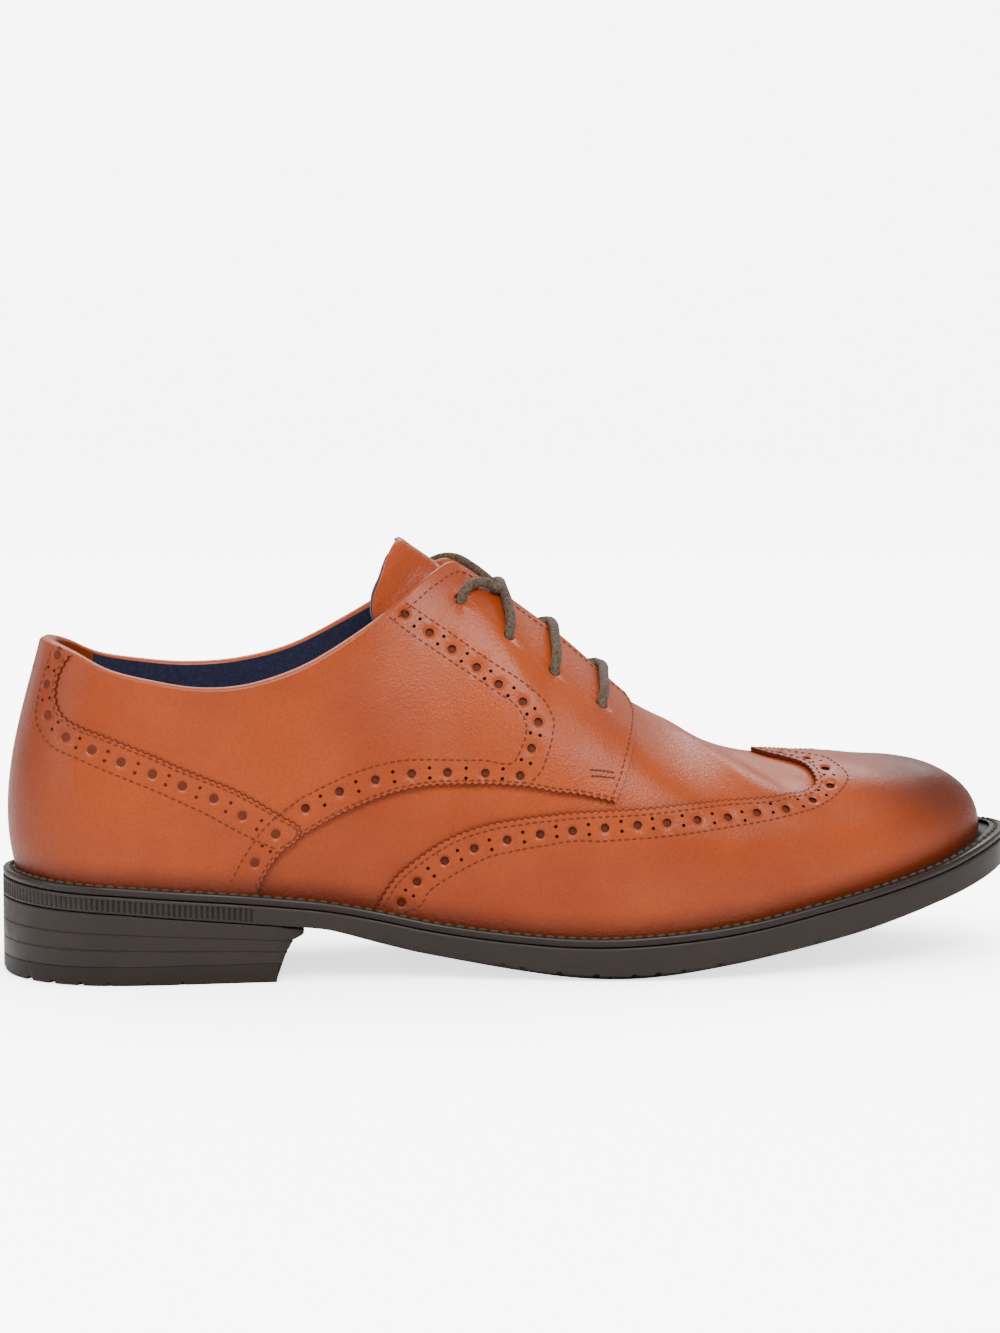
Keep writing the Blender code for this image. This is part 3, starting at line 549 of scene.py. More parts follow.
def plain(side, rows, pitch=3.0):
    """A line without teeth, as points at that pitch."""
    share, rise, _ = walk(side, rows, pitch)
    return list(zip(share, rise))


def rings_around(side, places, radius, count):
    """A circle of that radius on the leather round each place, as shares and rises."""
    places = np.array(places, float)
    share = np.repeat(places[:, 0], count).reshape(-1, count)
    rise = np.repeat(places[:, 1], count).reshape(-1, count)
    _, du, _, n = frame_at(side, share, rise)
    first = du / np.linalg.norm(du, axis=-1)[..., None]
    second = np.cross(n, first)
    turn = (2 * np.pi * np.arange(count) / count)[None, :, None]
    move = first * np.cos(turn) + second * np.sin(turn)
    return np.stack(step(side, share, rise, move * radius), -1)


def leather_piece(side, outline, big, small, eyes=()):
    """A flat cut piece with its punched holes, in a chart of share and rise, as a bmesh."""
    mesh = bmesh.new()

    def loop(points):
        made = [mesh.verts.new((s * ACROSS, r * UP, 0.0)) for s, r in points]
        return [mesh.edges.new((made[i], made[(i + 1) % len(made)])) for i in range(len(made))]

    edges = loop(outline)
    dished = []
    for places, radius, target, depth, count in (
        (big, BIG_HOLE + DISH, BIG_HOLE, DIMPLE, RING_POINTS),
        (small, SMALL_HOLE, SMALL_HOLE, 0.0, PIN_POINTS),
        (eyes, EYELET_DIAMETER / 2 + EYELET_LIP, EYELET_DIAMETER / 2, 0.6 * DIMPLE, RING_POINTS),
    ):
        if not len(places):
            continue
        for (share, rise), ring in zip(places, rings_around(side, places, radius, count)):
            made = loop(ring)
            edges += made
            if depth:
                dished.append((made, Vector((share * ACROSS, rise * UP, 0.0)), radius, target, depth))
    bmesh.ops.triangle_fill(mesh, edges=edges, use_beauty=True, normal=(0, 0, 1))
    for made, centre, radius, target, depth in dished:
        shrink = 1.0
        for portion, fall in ((0.5, 0.45), (1.0, 1.0)):
            grown = bmesh.ops.extrude_edge_only(mesh, edges=made)["geom"]
            made = [g for g in grown if isinstance(g, bmesh.types.BMEdge)]
            corners = [g for g in grown if isinstance(g, bmesh.types.BMVert)]
            wanted = (radius + (target - radius) * portion) / radius
            for v in corners:
                offset = (v.co - centre) * (wanted / shrink)
                v.co = Vector((centre.x + offset.x, centre.y + offset.y, -depth * fall))
            shrink = wanted
    low = [min(v.co[k] for v in mesh.verts) for k in (0, 1)]
    high = [max(v.co[k] for v in mesh.verts) for k in (0, 1)]
    for k in (0, 1):
        for i in range(math.ceil(low[k] / CELL), math.floor(high[k] / CELL) + 1):
            point = [0.0, 0.0, 0.0]
            point[k] = CELL * i + OFF_CELL
            direction = [0.0, 0.0, 0.0]
            direction[k] = 1.0
            whole = mesh.verts[:] + mesh.edges[:] + mesh.faces[:]
            bmesh.ops.bisect_plane(mesh, geom=whole, plane_co=point, plane_no=direction, dist=1e-5)
    bmesh.ops.recalc_face_normals(mesh, faces=mesh.faces)
    return mesh


def pour(mesh, whole):
    """Adds a mesh to another and frees it."""
    data = bpy.data.meshes.new("part")
    mesh.to_mesh(data)
    mesh.free()
    whole.from_mesh(data)
    bpy.data.meshes.remove(data)


# How close to the middle line a point counts as on it, how far apart the halves' points may be to be
# joined there, and the same at the toe's tip within its reach.
ON_SEAM = 1e-4
SEAM_MERGE = 0.08
TIP_REACH = 9.0
TIP_MERGE = 0.5


def lay(meshes, lift):
    """Puts flat pieces on the form and joins them along the middle, with the toe's seam closed."""
    joined = bmesh.new()
    for side, mesh in meshes:
        share = np.array([v.co.x for v in mesh.verts]) / ACROSS
        rise = np.array([v.co.y for v in mesh.verts]) / UP
        drop = np.array([v.co.z for v in mesh.verts])
        points = form(side, share, np.clip(rise, 0.0, 1.0))
        _, _, _, n = frame_at(side, np.clip(share, 0.005, 0.995), rise)
        middle = (rise > 1 - ON_SEAM) & (share > THROAT_SHARE)
        middle |= (share < ON_SEAM) | (share > 1 - ON_SEAM)
        exact = form(side, np.clip(share, 0, 1), np.clip(rise, 0, 1), 1.0) - points
        n = np.where(middle[:, None], exact, n)
        points = points + n * (lift + drop)[:, None]
        below = np.clip(-rise, 0.0, 1.0)
        points[:, 2] -= below * UP
        settle(mesh, points)
        pour(mesh, joined)
    bmesh.ops.remove_doubles(joined, verts=joined.verts, dist=SEAM_MERGE * MM)
    tip = place((form(-1, 1.0, 1.0) + form(1, 1.0, 1.0)) / 2)
    open_corners = [v for v in joined.verts if v.is_boundary and (v.co - tip).length < TIP_REACH * MM]
    bmesh.ops.remove_doubles(joined, verts=open_corners, dist=TIP_MERGE * MM)
    slits = [e for e in joined.edges if e.is_boundary and (e.verts[0].co - tip).length < TIP_REACH * MM]
    bmesh.ops.holes_fill(joined, edges=slits, sides=12)
    bmesh.ops.recalc_face_normals(joined, faces=joined.faces)
    for line in joined.edges:
        line.smooth = not line.is_boundary
    return joined


def thicken(piece, thick):
    """Gives laid leather its thickness, inwards, with the cut face in the second material, dark partly of
    its own and partly with painted shade.
    """
    solid = piece.modifiers.new("thickness", "SOLIDIFY")
    solid.thickness = thick * MM
    solid.offset = -1.0
    solid.use_even_offset = False
    solid.material_offset_rim = 1


def grid(name, across, up, where, materials, replaces=()):
    """A fine sheet: where(u, v) gives each of its points, u and v from 0 to 1."""
    mesh = bmesh.new()
    bmesh.ops.create_grid(mesh, x_segments=across, y_segments=up, size=0.5)
    u = np.array([v.co.x for v in mesh.verts]) + 0.5
    v = np.array([v.co.y for v in mesh.verts]) + 0.5
    settle(mesh, where(u, v))
    bmesh.ops.remove_doubles(mesh, verts=mesh.verts, dist=0.01 * MM)
    bmesh.ops.recalc_face_normals(mesh, faces=mesh.faces)
    return finish_piece(name, mesh, materials, replaces, sharp=60.0)


# Materials
class Nodes:
    """Short hand for the node tree of a material or of a shared group."""

    def __init__(self, tree):
        self.tree = tree
        self.place = None

    def node(self, kind, **settings):
        made = self.tree.nodes.new(kind if kind.startswith("NodeGroup") else "ShaderNode" + kind)
        for key, value in settings.items():
            if key in made.inputs.keys():
                made.inputs[key].default_value = value
            else:
                setattr(made, key, value)
        return made

    def link(self, a, b):
        self.tree.links.new(a, b)

    def fill(self, socket, value):
        if hasattr(value, "links"):
            self.link(value, socket)
        elif isinstance(value, tuple):
            socket.default_value = (*value, 1.0) if len(value) == 3 else value
        else:
            socket.default_value = value

    def noise(self, scale, detail=3.0, rough=0.5):
        made = self.node("TexNoise", Detail=detail, Roughness=rough)
        self.fill(made.inputs["Scale"], scale)
        self.link(self.place, made.inputs["Vector"])
        return made.outputs["Fac"]

    def cells(self, scale, feature="F1"):
        made = self.node("TexVoronoi", Randomness=1.0, feature=feature)
        self.fill(made.inputs["Scale"], scale)
        self.link(self.place, made.inputs["Vector"])
        return made.outputs["Distance"]

    def ramp(self, value, low, high, to_low=0.0, to_high=1.0):
        made = self.node("MapRange", interpolation_type="SMOOTHSTEP")
        made.inputs["From Min"].default_value = low
        made.inputs["From Max"].default_value = high
        made.inputs["To Min"].default_value = to_low
        made.inputs["To Max"].default_value = to_high
        self.link(value, made.inputs["Value"])
        return made.outputs["Result"]

    def mix(self, factor, a, b):
        made = self.node("Mix", data_type="RGBA")
        for socket, value in ((made.inputs[0], factor), (made.inputs[6], a), (made.inputs[7], b)):
            self.fill(socket, value)
        return made.outputs[2]

    def math(self, operation, a, b):
        made = self.node("Math", operation=operation)
        self.fill(made.inputs[0], a)
        self.fill(made.inputs[1], b)
        return made.outputs[0]

    def axis(self, name):
        made = self.node("SeparateXYZ")
        self.link(self.place, made.inputs[0])
        return made.outputs[name]

    def bump(self, height, strength, distance, onto=None):
        made = self.node("Bump", Strength=strength, Distance=distance)
        self.link(height, made.inputs["Height"])
        if onto is not None:
            self.link(onto, made.inputs["Normal"])
        return made.outputs["Normal"]


class Material(Nodes):
    """A material with its Principled shader, its patterns in Object coordinates."""

    def __init__(self, name):
        self.made = bpy.data.materials.new(name)
        self.made.use_nodes = True
        super().__init__(self.made.node_tree)
        self.shader = self.tree.nodes["Principled BSDF"]
        self.place = self.node("TexCoord").outputs["Object"]

    def use(self, group, **values):
        made = self.node("Group")
        made.node_tree = group
        self.link(self.place, made.inputs["Vector"])
        for key, value in values.items():
            made.inputs[key].default_value = value
        return made.outputs

    def set(self, **values):
        for key, value in values.items():
            self.fill(self.shader.inputs[key.replace("_", " ")], value)


class Group(Nodes):
    """A node group with a Vector, named values in and named masks out."""

    def __init__(self, name, **values):
        super().__init__(bpy.data.node_groups.new(name, "ShaderNodeTree"))
        self.tree.interface.new_socket("Vector", in_out="INPUT", socket_type="NodeSocketVector")
        for key, value in values.items():
            socket = self.tree.interface.new_socket(key, in_out="INPUT", socket_type="NodeSocketFloat")
            socket.default_value = value
        self.given = self.node("NodeGroupInput").outputs
        self.place = self.given["Vector"]

    def close(self, **results):
        for key in results:
            self.tree.interface.new_socket(key, in_out="OUTPUT", socket_type="NodeSocketFloat")
        end = self.node("NodeGroupOutput")
        for key, value in results.items():
            self.link(value, end.inputs[key])
        return self.tree


def grain_group():
    """Patches, flecks, wrinkles, pebbles and pores of finished calf."""
    g = Group("leather_grain", Patches=24.0, Pebbles=1450.0)
    pores = g.cells(g.math("MULTIPLY", g.given["Pebbles"], 2.3))
    return g.close(
        Patch=g.ramp(g.noise(g.given["Patches"]), 0.33, 0.68),
        Fleck=g.ramp(g.noise(g.given["Pebbles"], 4.0, 0.6), 0.35, 0.7),
        Wrinkle=g.noise(80.0, 3.0, 0.5),
        Pebble=g.cells(g.given["Pebbles"], "SMOOTH_F1"),
        Pore=pores,
        Gloss=g.ramp(g.noise(60.0, 4.0), 0.3, 0.75),
    )


def speck_group():
    """Two sizes of speck and a broad wear mask, for rubber, thread and cloth."""
    g = Group("specks", Scale=1500.0)
    return g.close(
        Speck=g.ramp(g.noise(g.given["Scale"], 4.0, 0.65), 0.35, 0.7),
        Fuzz=g.noise(g.math("MULTIPLY", g.given["Scale"], 0.7), 5.0, 0.7),
        Wear=g.ramp(g.noise(48.0, 4.0), 0.35, 0.7),
    )


GRAIN = grain_group()
SPECKS = speck_group()


def burnish_and_shade(m, colour):
    """Darkens the toe tip with its burnish, and paints shade on the back of the heel and on the leather just
    above the welt.
    """
    x = m.axis("X")
    z = m.axis("Z")
    tip = m.ramp(m.math("ADD", x, m.math("MULTIPLY", z, 0.55)), TIP_START, TIP_END)
    tip = m.math("MULTIPLY", tip, m.ramp(z, 0.030, 0.052, 0.45, 1.0))
    colour = m.mix(m.math("MULTIPLY", tip, TIP_BURN), colour, BURNISH_AND_SHADE)
    # Painted shade: the back of the heel darkened towards its edge.
    heel = m.ramp(x, 0.004, -0.034)
    colour = m.mix(m.math("MULTIPLY", heel, HEEL_SHADE), colour, BURNISH_AND_SHADE)
    # Painted shade: a dark band on the leather just above the welt, where the upper curves under.
    low = m.ramp(m.node("Attribute", attribute_name="rise").outputs["Fac"], 0.11, 0.0)
    return m.mix(m.math("MULTIPLY", low, FOOT_SHADE), colour, BURNISH_AND_SHADE)


def leather(name, bright, deep, burnished_and_shaded=True, grain=1.0, gloss=(0.33, 0.45)):
    """Finished calf: patchy colour, soft wrinkles, pebbles and pores, with the toe's burnish and painted
    shade where asked.
    """
    m = Material(name)
    parts = m.use(GRAIN)
    colour = m.mix(parts["Patch"], bright, deep)
    colour = m.mix(m.math("MULTIPLY", parts["Fleck"], 0.30), colour, tuple(c * 0.66 for c in deep))
    if burnished_and_shaded:
        colour = burnish_and_shade(m, colour)
    m.link(colour, m.shader.inputs["Base Color"])
    normal = m.bump(parts["Wrinkle"], 0.04 * grain, 0.0014)
    normal = m.bump(parts["Pebble"], 0.45 * grain, 0.00022, normal)
    normal = m.bump(parts["Pore"], 0.30 * grain, 0.00012, normal)
    m.link(normal, m.shader.inputs["Normal"])
    m.link(m.ramp(parts["Gloss"], 0.0, 1.0, *gloss), m.shader.inputs["Roughness"])
    m.set(Specular_IOR_Level=LEATHER_SHINE)
    return m.made


def rubber(name, colour, low=0.42, high=0.60, shine=0.25):
    """Dark sole stock, from low roughness to high where it is worn."""
    m = Material(name)
    parts = m.use(SPECKS, Scale=1400.0)
    worn = m.mix(parts["Wear"], colour, tuple(c * 1.3 for c in colour))
    worn = m.mix(m.math("MULTIPLY", parts["Speck"], 0.25), worn, tuple(c * 0.7 for c in colour))
    m.link(worn, m.shader.inputs["Base Color"])
    m.link(m.ramp(parts["Wear"], 0.0, 1.0, low, high), m.shader.inputs["Roughness"])
    m.link(m.bump(parts["Fuzz"], 0.15, 0.0001), m.shader.inputs["Normal"])
    m.set(Specular_IOR_Level=shine)
    return m.made


def cloth(name, colour, fleck, scale=1500.0, strength=0.5, rough=0.9, sheen=0.25):
    """Fibrous stuff in two colours: lining, thread, cord, cut leather with painted shade, and the painted
    shade in the holes.
    """
    m = Material(name)
    parts = m.use(SPECKS, Scale=scale)
    m.link(m.mix(parts["Speck"], colour, fleck), m.shader.inputs["Base Color"])
    m.link(m.bump(parts["Fuzz"], strength, 0.0004), m.shader.inputs["Normal"])
    m.set(Roughness=rough, Specular_IOR_Level=0.2, Sheen_Weight=sheen, Sheen_Roughness=0.5)
    return m.made


# The toe's burnish and the painted shade on the heel's back and above the welt: where the toe's burnish
# begins and ends, how strong each is, and their one colour.
TIP_START = 0.232
TIP_END = 0.274
TIP_BURN = 0.9
# Strength of the painted shade on the heel's back, then of the painted shade just above the welt.
HEEL_SHADE = 0.38
FOOT_SHADE = 0.72
# Colour shared by the toe's burnish and the painted shade.
BURNISH_AND_SHADE = (0.055, 0.0078, 0.0017)
LEATHER_SHINE = 0.26
BRIGHT_TAN = (0.315, 0.0470, 0.0050)

TAN = leather("tan_leather", BRIGHT_TAN, (0.245, 0.0330, 0.0034))
TAN_PLAIN = leather("tan_leather_plain", BRIGHT_TAN, (0.25, 0.0340, 0.0035), burnished_and_shaded=False)
TAN_EDGE = leather("tan_edge", (0.33, 0.054, 0.0080), (0.26, 0.040, 0.0052), burnished_and_shaded=False, grain=0.5)
# Cut face of the leather: partly its own dark edge, partly painted shade along the edges and on the holes'
# walls.
CUT_FACE_AND_SHADE = cloth("cut_edge", (0.060, 0.0080, 0.0022), (0.095, 0.0130, 0.0035), 2500.0, 0.4, 0.7, 0.0)
# Painted shade seen through the punched holes.
HOLE_SHADE = cloth("hole_floor", (0.080, 0.0120, 0.0024), (0.110, 0.0170, 0.0038), 2000.0, 0.4, 0.6, 0.0)
NAVY = cloth("navy_lining", (0.0060, 0.0068, 0.024), (0.014, 0.0155, 0.048), 1100.0, 0.6)
HEEL_TAN = (0.22, 0.035, 0.0065)
HEEL_LINING = leather("heel_lining", HEEL_TAN, (0.16, 0.024, 0.0045), burnished_and_shaded=False, grain=0.8)
THREAD = cloth("brown_thread", (0.070, 0.0155, 0.0052), (0.14, 0.0380, 0.0140), 3000.0, 0.3, 0.7, 0.0)
WELT_THREAD = cloth("welt_thread", (0.030, 0.021, 0.014), (0.065, 0.048, 0.034), 2600.0, 0.4, 0.7, 0.0)
LACE = cloth("lace_cord", (0.036, 0.0220, 0.0140), (0.115, 0.074, 0.048), 1300.0, 0.9, 0.8, 0.08)
SOLE = rubber("sole_rubber", (0.0185, 0.0125, 0.0105))
LIFT = rubber("lift_rubber", (0.0165, 0.0112, 0.0095), 0.5, 0.7, 0.18)
WELT = rubber("welt_leather", (0.0150, 0.0090, 0.0068), 0.36, 0.48, 0.25)


# Upper, lining and rolled edge
CLOSE = 1e-9


def both_sides(u):
    """Side and share of a sheet from the toe down the outer side, round the back, to the toe."""
    side = np.where(u < 0.5, -1, 1)
    return side, np.abs(2 * u - 1)


def on_form(side, share, rise, lift):
    """Points of both sides of the form at once, each at its own lift."""
    points = np.zeros(share.shape + (3,))
    lift = np.broadcast_to(lift, share.shape)
    for s in (-1, 1):
        pick = side == s
        if pick.any():
            got = form(s, share[pick], rise[pick])
            out = form(s, share[pick], rise[pick], 1.0) - got
            points[pick] = got + out * lift[pick][:, None]
    return points


def one_side_on_seams(side, share):
    """The outer side for points on the back and toe lines, which both sides share."""
    return np.where((share < CLOSE) | (share > 1 - CLOSE), -1, side)


def skin(name, lift, across, up, materials, replaces=()):
    """A sheet over the whole form, tucked behind the welt and closed along the ridge."""

    def where(u, v):
        side, share = both_sides(u)
        side = one_side_on_seams(side, share)
        points = on_form(side, share, v, lift)
        points[v < TINY, 2] -= FOOT_TUCK
        seam = (v > 1 - TINY) & (share >= THROAT_SHARE - CLOSE)
        points[seam] = on_form(np.full(seam.sum(), -1), share[seam], v[seam], lift)
        return points

    return grid(name, across, up, where, materials, replaces)


FULL_RISE = 70.0


def add_rise(piece):
    """Marks each vertex with its height above the welt as a share, for the painted shade just above the
    welt.
    """
    data = piece.data
    co = np.empty(len(data.vertices) * 3)
    data.vertices.foreach_get("co", co)
    co = co.reshape(-1, 3) / MM
    station = np.clip(co[:, 0] + HEEL_CENTRE, 0, LENGTH)
    foot = sole_top(station) + WELT_THICK + 2 * GAP
    layer = data.attributes.new("rise", "FLOAT", "POINT")
    layer.data.foreach_set("value", np.clip((co[:, 2] - foot) / FULL_RISE, 0.0, 1.0))


vamp = skin("vamp_and_body", BASE_LIFT, 200 * FINE, 40 * FINE, [TAN], ["upper"])
add_rise(vamp)
lining = skin("lining", BASE_LIFT - WALL, 160, 36, [NAVY, HEEL_LINING])
for polygon in lining.data.polygons:
    if polygon.center.x < (HEEL_LINING_END - HEEL_CENTRE) * MM:
        polygon.material_index = 1


ROLL_HIGH = 1.1
ROLL_PROUD = 0.05
# Where the facings' leather ends on the ridge, and the lengths over which the roll sinks and ends.
FACING_END = 0.678
ROLL_SINK = 0.014
ROLL_FADE = 0.012


def edge_roll(u, v):
    """The turned edge round the facings and the collar."""
    span = 2 * THROAT_SHARE * u - THROAT_SHARE
    side = np.where(span < 0, -1, 1)
    share = np.abs(span)
    side = np.where(share < CLOSE, -1, side)
    turn = np.pi * v
    inner = BASE_LIFT - WALL
    outer = BASE_LIFT * np.clip((share - FACING_END) / ROLL_SINK, 0.0, 1.0)
    across = (outer + inner) / 2 + ((outer - inner) / 2 + ROLL_PROUD) * np.cos(turn)
    foot = on_form(side, share, np.ones_like(share), across)
    top = on_form(side, share, np.ones_like(share), 0.0)
    below = on_form(side, share, np.full_like(share, 0.97), 0.0)
    up = top - below
    up /= np.linalg.norm(up, axis=1)[:, None]
    fade = np.clip((THROAT_SHARE - share) / ROLL_FADE, 0.0, 1.0)
    return foot + up * (np.sin(turn) * ROLL_HIGH * fade)[:, None]


grid("collar_edge", 420, 8, edge_roll, [TAN_EDGE])


# The leather pieces laid on
def between_holes(side, holes):
    """Pairs of small holes across the band between each two big ones."""
    found = []
    for i in range(len(holes) - 1):
        a = np.array(holes[i])
        b = np.array(holes[i + 1])
        share = np.array([(a[0] + b[0]) / 2])
        rise = np.array([(a[1] + b[1]) / 2])
        run = form(side, b[:1], b[1:]) - form(side, a[:1], a[1:])
        run /= np.linalg.norm(run)
        _, _, _, n = frame_at(side, share, rise)
        for sign in (-1, 1):
            s, r = step(side, share, rise, np.cross(n, run) * SMALL_APART * sign)
            found.append((float(s[0]), float(r[0])))
    return found


def along_top(start, end, count):
    """Points along the top of the form, without the first."""
    return [(share, 1.0) for share in np.linspace(start, end, count)[1:]]


def under_welt(start, end, count):
    return [(share, UNDER) for share in np.linspace(start, end, count)[1:]]


def finish_leather(name, mesh, node, thick=OVERLAY_THICK):
    piece = finish_piece(name, mesh, [TAN, CUT_FACE_AND_SHADE], [node], sharp=None)
    add_rise(piece)
    thicken(piece, thick)


def build_wing():
    """The toe cap, cut in two halves that meet on the ridge and at the toe."""
    halves = []
    for side in (-1, 1):
        line = pinked(side, WING_EDGE, -side * TOOTH)
        line = [(s, min(r, 1.0)) for s, r in line[:-1]] + [(WING_EDGE[-1][0], 1.0)]
        outline = line + along_top(WING_EDGE[-1][0], 1.0, 24)
        outline += [(1.0, rise) for rise in np.linspace(1.0, UNDER, 26)[1:]]
        outline += under_welt(1.0, WING_EDGE[0][0], 90)[:-1]
        small = between_holes(side, WING_HOLES)
        halves.append((side, leather_piece(side, outline, WING_HOLES, small)))
    finish_leather("wing_cap_leather", lay(halves, 0.0), "wing_cap")


# The inner facing's front, a little further back than the outer one's towards the ridge.
INNER_FACING = tuple((share - 0.012 * rise**4, rise) for share, rise in FACING_EDGE)
FACING_FRONTS = {-1: FACING_EDGE, 1: INNER_FACING}

# The quarter's rear edge, out of sight under the counter.
QUARTER_UNDER = (
    # share, rise
    (0.305, 0.262), (0.270, 0.400), (0.230, 0.500), (0.170, 0.600), (0.110, 0.630), (0.060, 0.800),
    (0.055, 1.000),
)


def build_quarters():
    """The two quarters with their facings and lace holes."""
    for side, name in ((-1, "outer"), (1, "inner")):
        low = pinked(side, QUARTER_EDGE, side * TOOTH)
        front = plain(side, FACING_FRONTS[side], 2.0)
        under = plain(side, QUARTER_UNDER)
        under[-1] = QUARTER_UNDER[-1]
        outline = front[:-1] + low + under[1:]
        outline += along_top(QUARTER_UNDER[-1][0], front[0][0], 130)[:-1]
        outline[0] = (outline[0][0], 1.0)
        small = between_holes(side, QUARTER_HOLES)
        mesh = lay([(side, leather_piece(side, outline, QUARTER_HOLES, small, EYELETS))], 0.0)
        finish_leather("quarter_leather_" + name, mesh, "quarter_" + name)


COUNTER_CUT_THICK = 0.9


def build_counter():
    """The heel piece, cut in two halves that meet at the back."""
    halves = []
    for side in (-1, 1):
        line = pinked(side, COUNTER_EDGE, side * TOOTH)
        line[0] = (line[0][0], 1.0)
        line = [(s, min(r, 1.0)) for s, r in line]
        outline = line + under_welt(COUNTER_EDGE[-1][0], 0.0, 60)
        outline += [(0.0, rise) for rise in np.linspace(UNDER, 1.0, 30)[1:]]
        outline += along_top(0.0, COUNTER_EDGE[0][0], 24)[:-1]
        small = between_holes(side, COUNTER_HOLES)
        halves.append((side, leather_piece(side, outline, COUNTER_HOLES, small)))
    finish_leather("counter_leather", lay(halves, COUNTER_PROUD), "counter", COUNTER_CUT_THICK)


# Sizes and lift of the discs of painted shade under the holes.
BIG_SHADE_DISC = (BIG_HOLE + 0.3) * MM
SMALL_SHADE_DISC = (SMALL_HOLE + 0.2) * MM
SHADE_DISC_LIFT = 0.06


def build_hole_shade():
    """Painted shade in the holes: dark discs on the leather below, seen through the holes."""
    whole = bmesh.new()
    for side in (-1, 1):
        for holes, lift in ((WING_HOLES, BASE_LIFT), (QUARTER_HOLES, BASE_LIFT), (COUNTER_HOLES, 0.0)):
            pins = between_holes(side, holes)
            for places, radius, sides in ((holes, BIG_SHADE_DISC, 12), (pins, SMALL_SHADE_DISC, 8)):
                share, rise = np.array(places).T
                here, du, _, n = frame_at(side, share, rise)
                mesh = bmesh.new()
                for point, along, out in zip(here + n * (lift + SHADE_DISC_LIFT), du, n):
                    along = along / np.linalg.norm(along)
                    turn = Matrix((along, np.cross(out, along), out)).transposed().to_4x4()
                    spot = Matrix.Translation(place(point)) @ turn
                    bmesh.ops.create_circle(mesh, cap_ends=True, segments=sides, radius=radius, matrix=spot)
                pour(mesh, whole)
    finish_piece("hole_shade_discs", whole, [HOLE_SHADE], sharp=None)


CUT_LIFT = 0.03


def build_cut_edges_and_shade():
    """The dark cut face of the pinked edges together with painted shade along them, a thin band along the
    teeth.
    """
    whole = bmesh.new()
    for side in (-1, 1):
        runs = ((WING_EDGE, -side, 0.0), (QUARTER_EDGE, side, 0.0), (COUNTER_EDGE, side, COUNTER_PROUD))
        for rows, way, lift in runs:
            teeth = pinked(side, rows, way * TOOTH)
            foot = pinked(side, rows, way * TOOTH, side * CUT_WIDE)
            table = np.array([teeth, foot])
            last = table.shape[1] - 1
            mesh = bmesh.new()
            bmesh.ops.create_grid(mesh, x_segments=last, y_segments=1, size=0.5)
            i = np.rint((np.array([v.co.x for v in mesh.verts]) + 0.5) * last).astype(int)
            j = np.array([int(v.co.y > 0) for v in mesh.verts])
            share, rise = table[j, i].T
            here, _, _, n = frame_at(side, share, rise)
            settle(mesh, here + n * (lift + CUT_LIFT))
            pour(mesh, whole)
    bmesh.ops.recalc_face_normals(whole, faces=whole.faces)
    finish_piece("cut_edges_and_shade", whole, [CUT_FACE_AND_SHADE], sharp=None)


build_wing()
build_quarters()
build_cut_edges_and_shade()
build_counter()
build_hole_shade()


# Stitches
STITCH_LIFT = 0.02


def stitch_row(
    whole, side, rows, lift, inset=0.0, start=1.0, pitch=STITCH_PITCH, long=STITCH_LONG, wide=STITCH_WIDE
):
    """Stitches along a line, each a long bead half sunk in the leather."""
    share, rise, run = walk(side, rows, pitch, start, inset)
    inside = (rise > 0.0) & (rise < 0.985)
    share, rise, run = share[inside], rise[inside], run[inside]
    if not len(share):
        return
    here, _, _, n = frame_at(side, share, rise)
    mesh = bmesh.new()
    for point, along, out in zip(here + n * (lift + STITCH_LIFT), run, n):
        across = np.cross(out, along)
        across /= np.linalg.norm(across)
        along = np.cross(across, out)
        turn = Matrix((along, across, out)).transposed().to_4x4()
        size = Matrix.Diagonal((long / 2 * MM, wide / 2 * MM, wide / 2 * MM, 1.0))
        spot = Matrix.Translation(place(point)) @ turn @ size
        bmesh.ops.create_icosphere(mesh, subdivisions=2, radius=1.0, matrix=spot)
    pour(mesh, whole)


# The seam under the facings' top edge, and the two tack bars at the facings' foot.
TOP_SEAM = tuple((share, 0.97) for share in np.linspace(0.462, 0.688, 30))
TACK_BARS = (((0.566, 0.450), (0.585, 0.462)), ((0.565, 0.431), (0.584, 0.443)))


def build_stitches():
    """All the seams of both sides in one piece."""
    mesh = bmesh.new()
    for side in (-1, 1):
        inset = side * STITCH_INSET
        for rows, lift, shift in (
            (WING_EDGE, 0.0, inset),
            (WING_SEAM, 0.0, 0.0),
            (QUARTER_EDGE, 0.0, inset),
            (BAND_FRONT, 0.0, 0.0),
            (BAND_REAR, 0.0, 0.0),
            (BAND_ON_COUNTER, COUNTER_PROUD, 0.0),
            (FACING_FRONTS[side], 0.0, inset),
            (COUNTER_EDGE, COUNTER_PROUD, inset),
            (COUNTER_SEAM, COUNTER_PROUD, 0.0),
            (TOP_SEAM, 0.0, 0.0),
        ):
            stitch_row(mesh, side, rows, lift, shift)
        for bar in TACK_BARS:
            stitch_row(mesh, side, bar, 0.0, start=0.2, pitch=1.2, long=1.3, wide=0.6)
    finish_piece("stitches", mesh, [THREAD], sharp=180.0)


build_stitches()


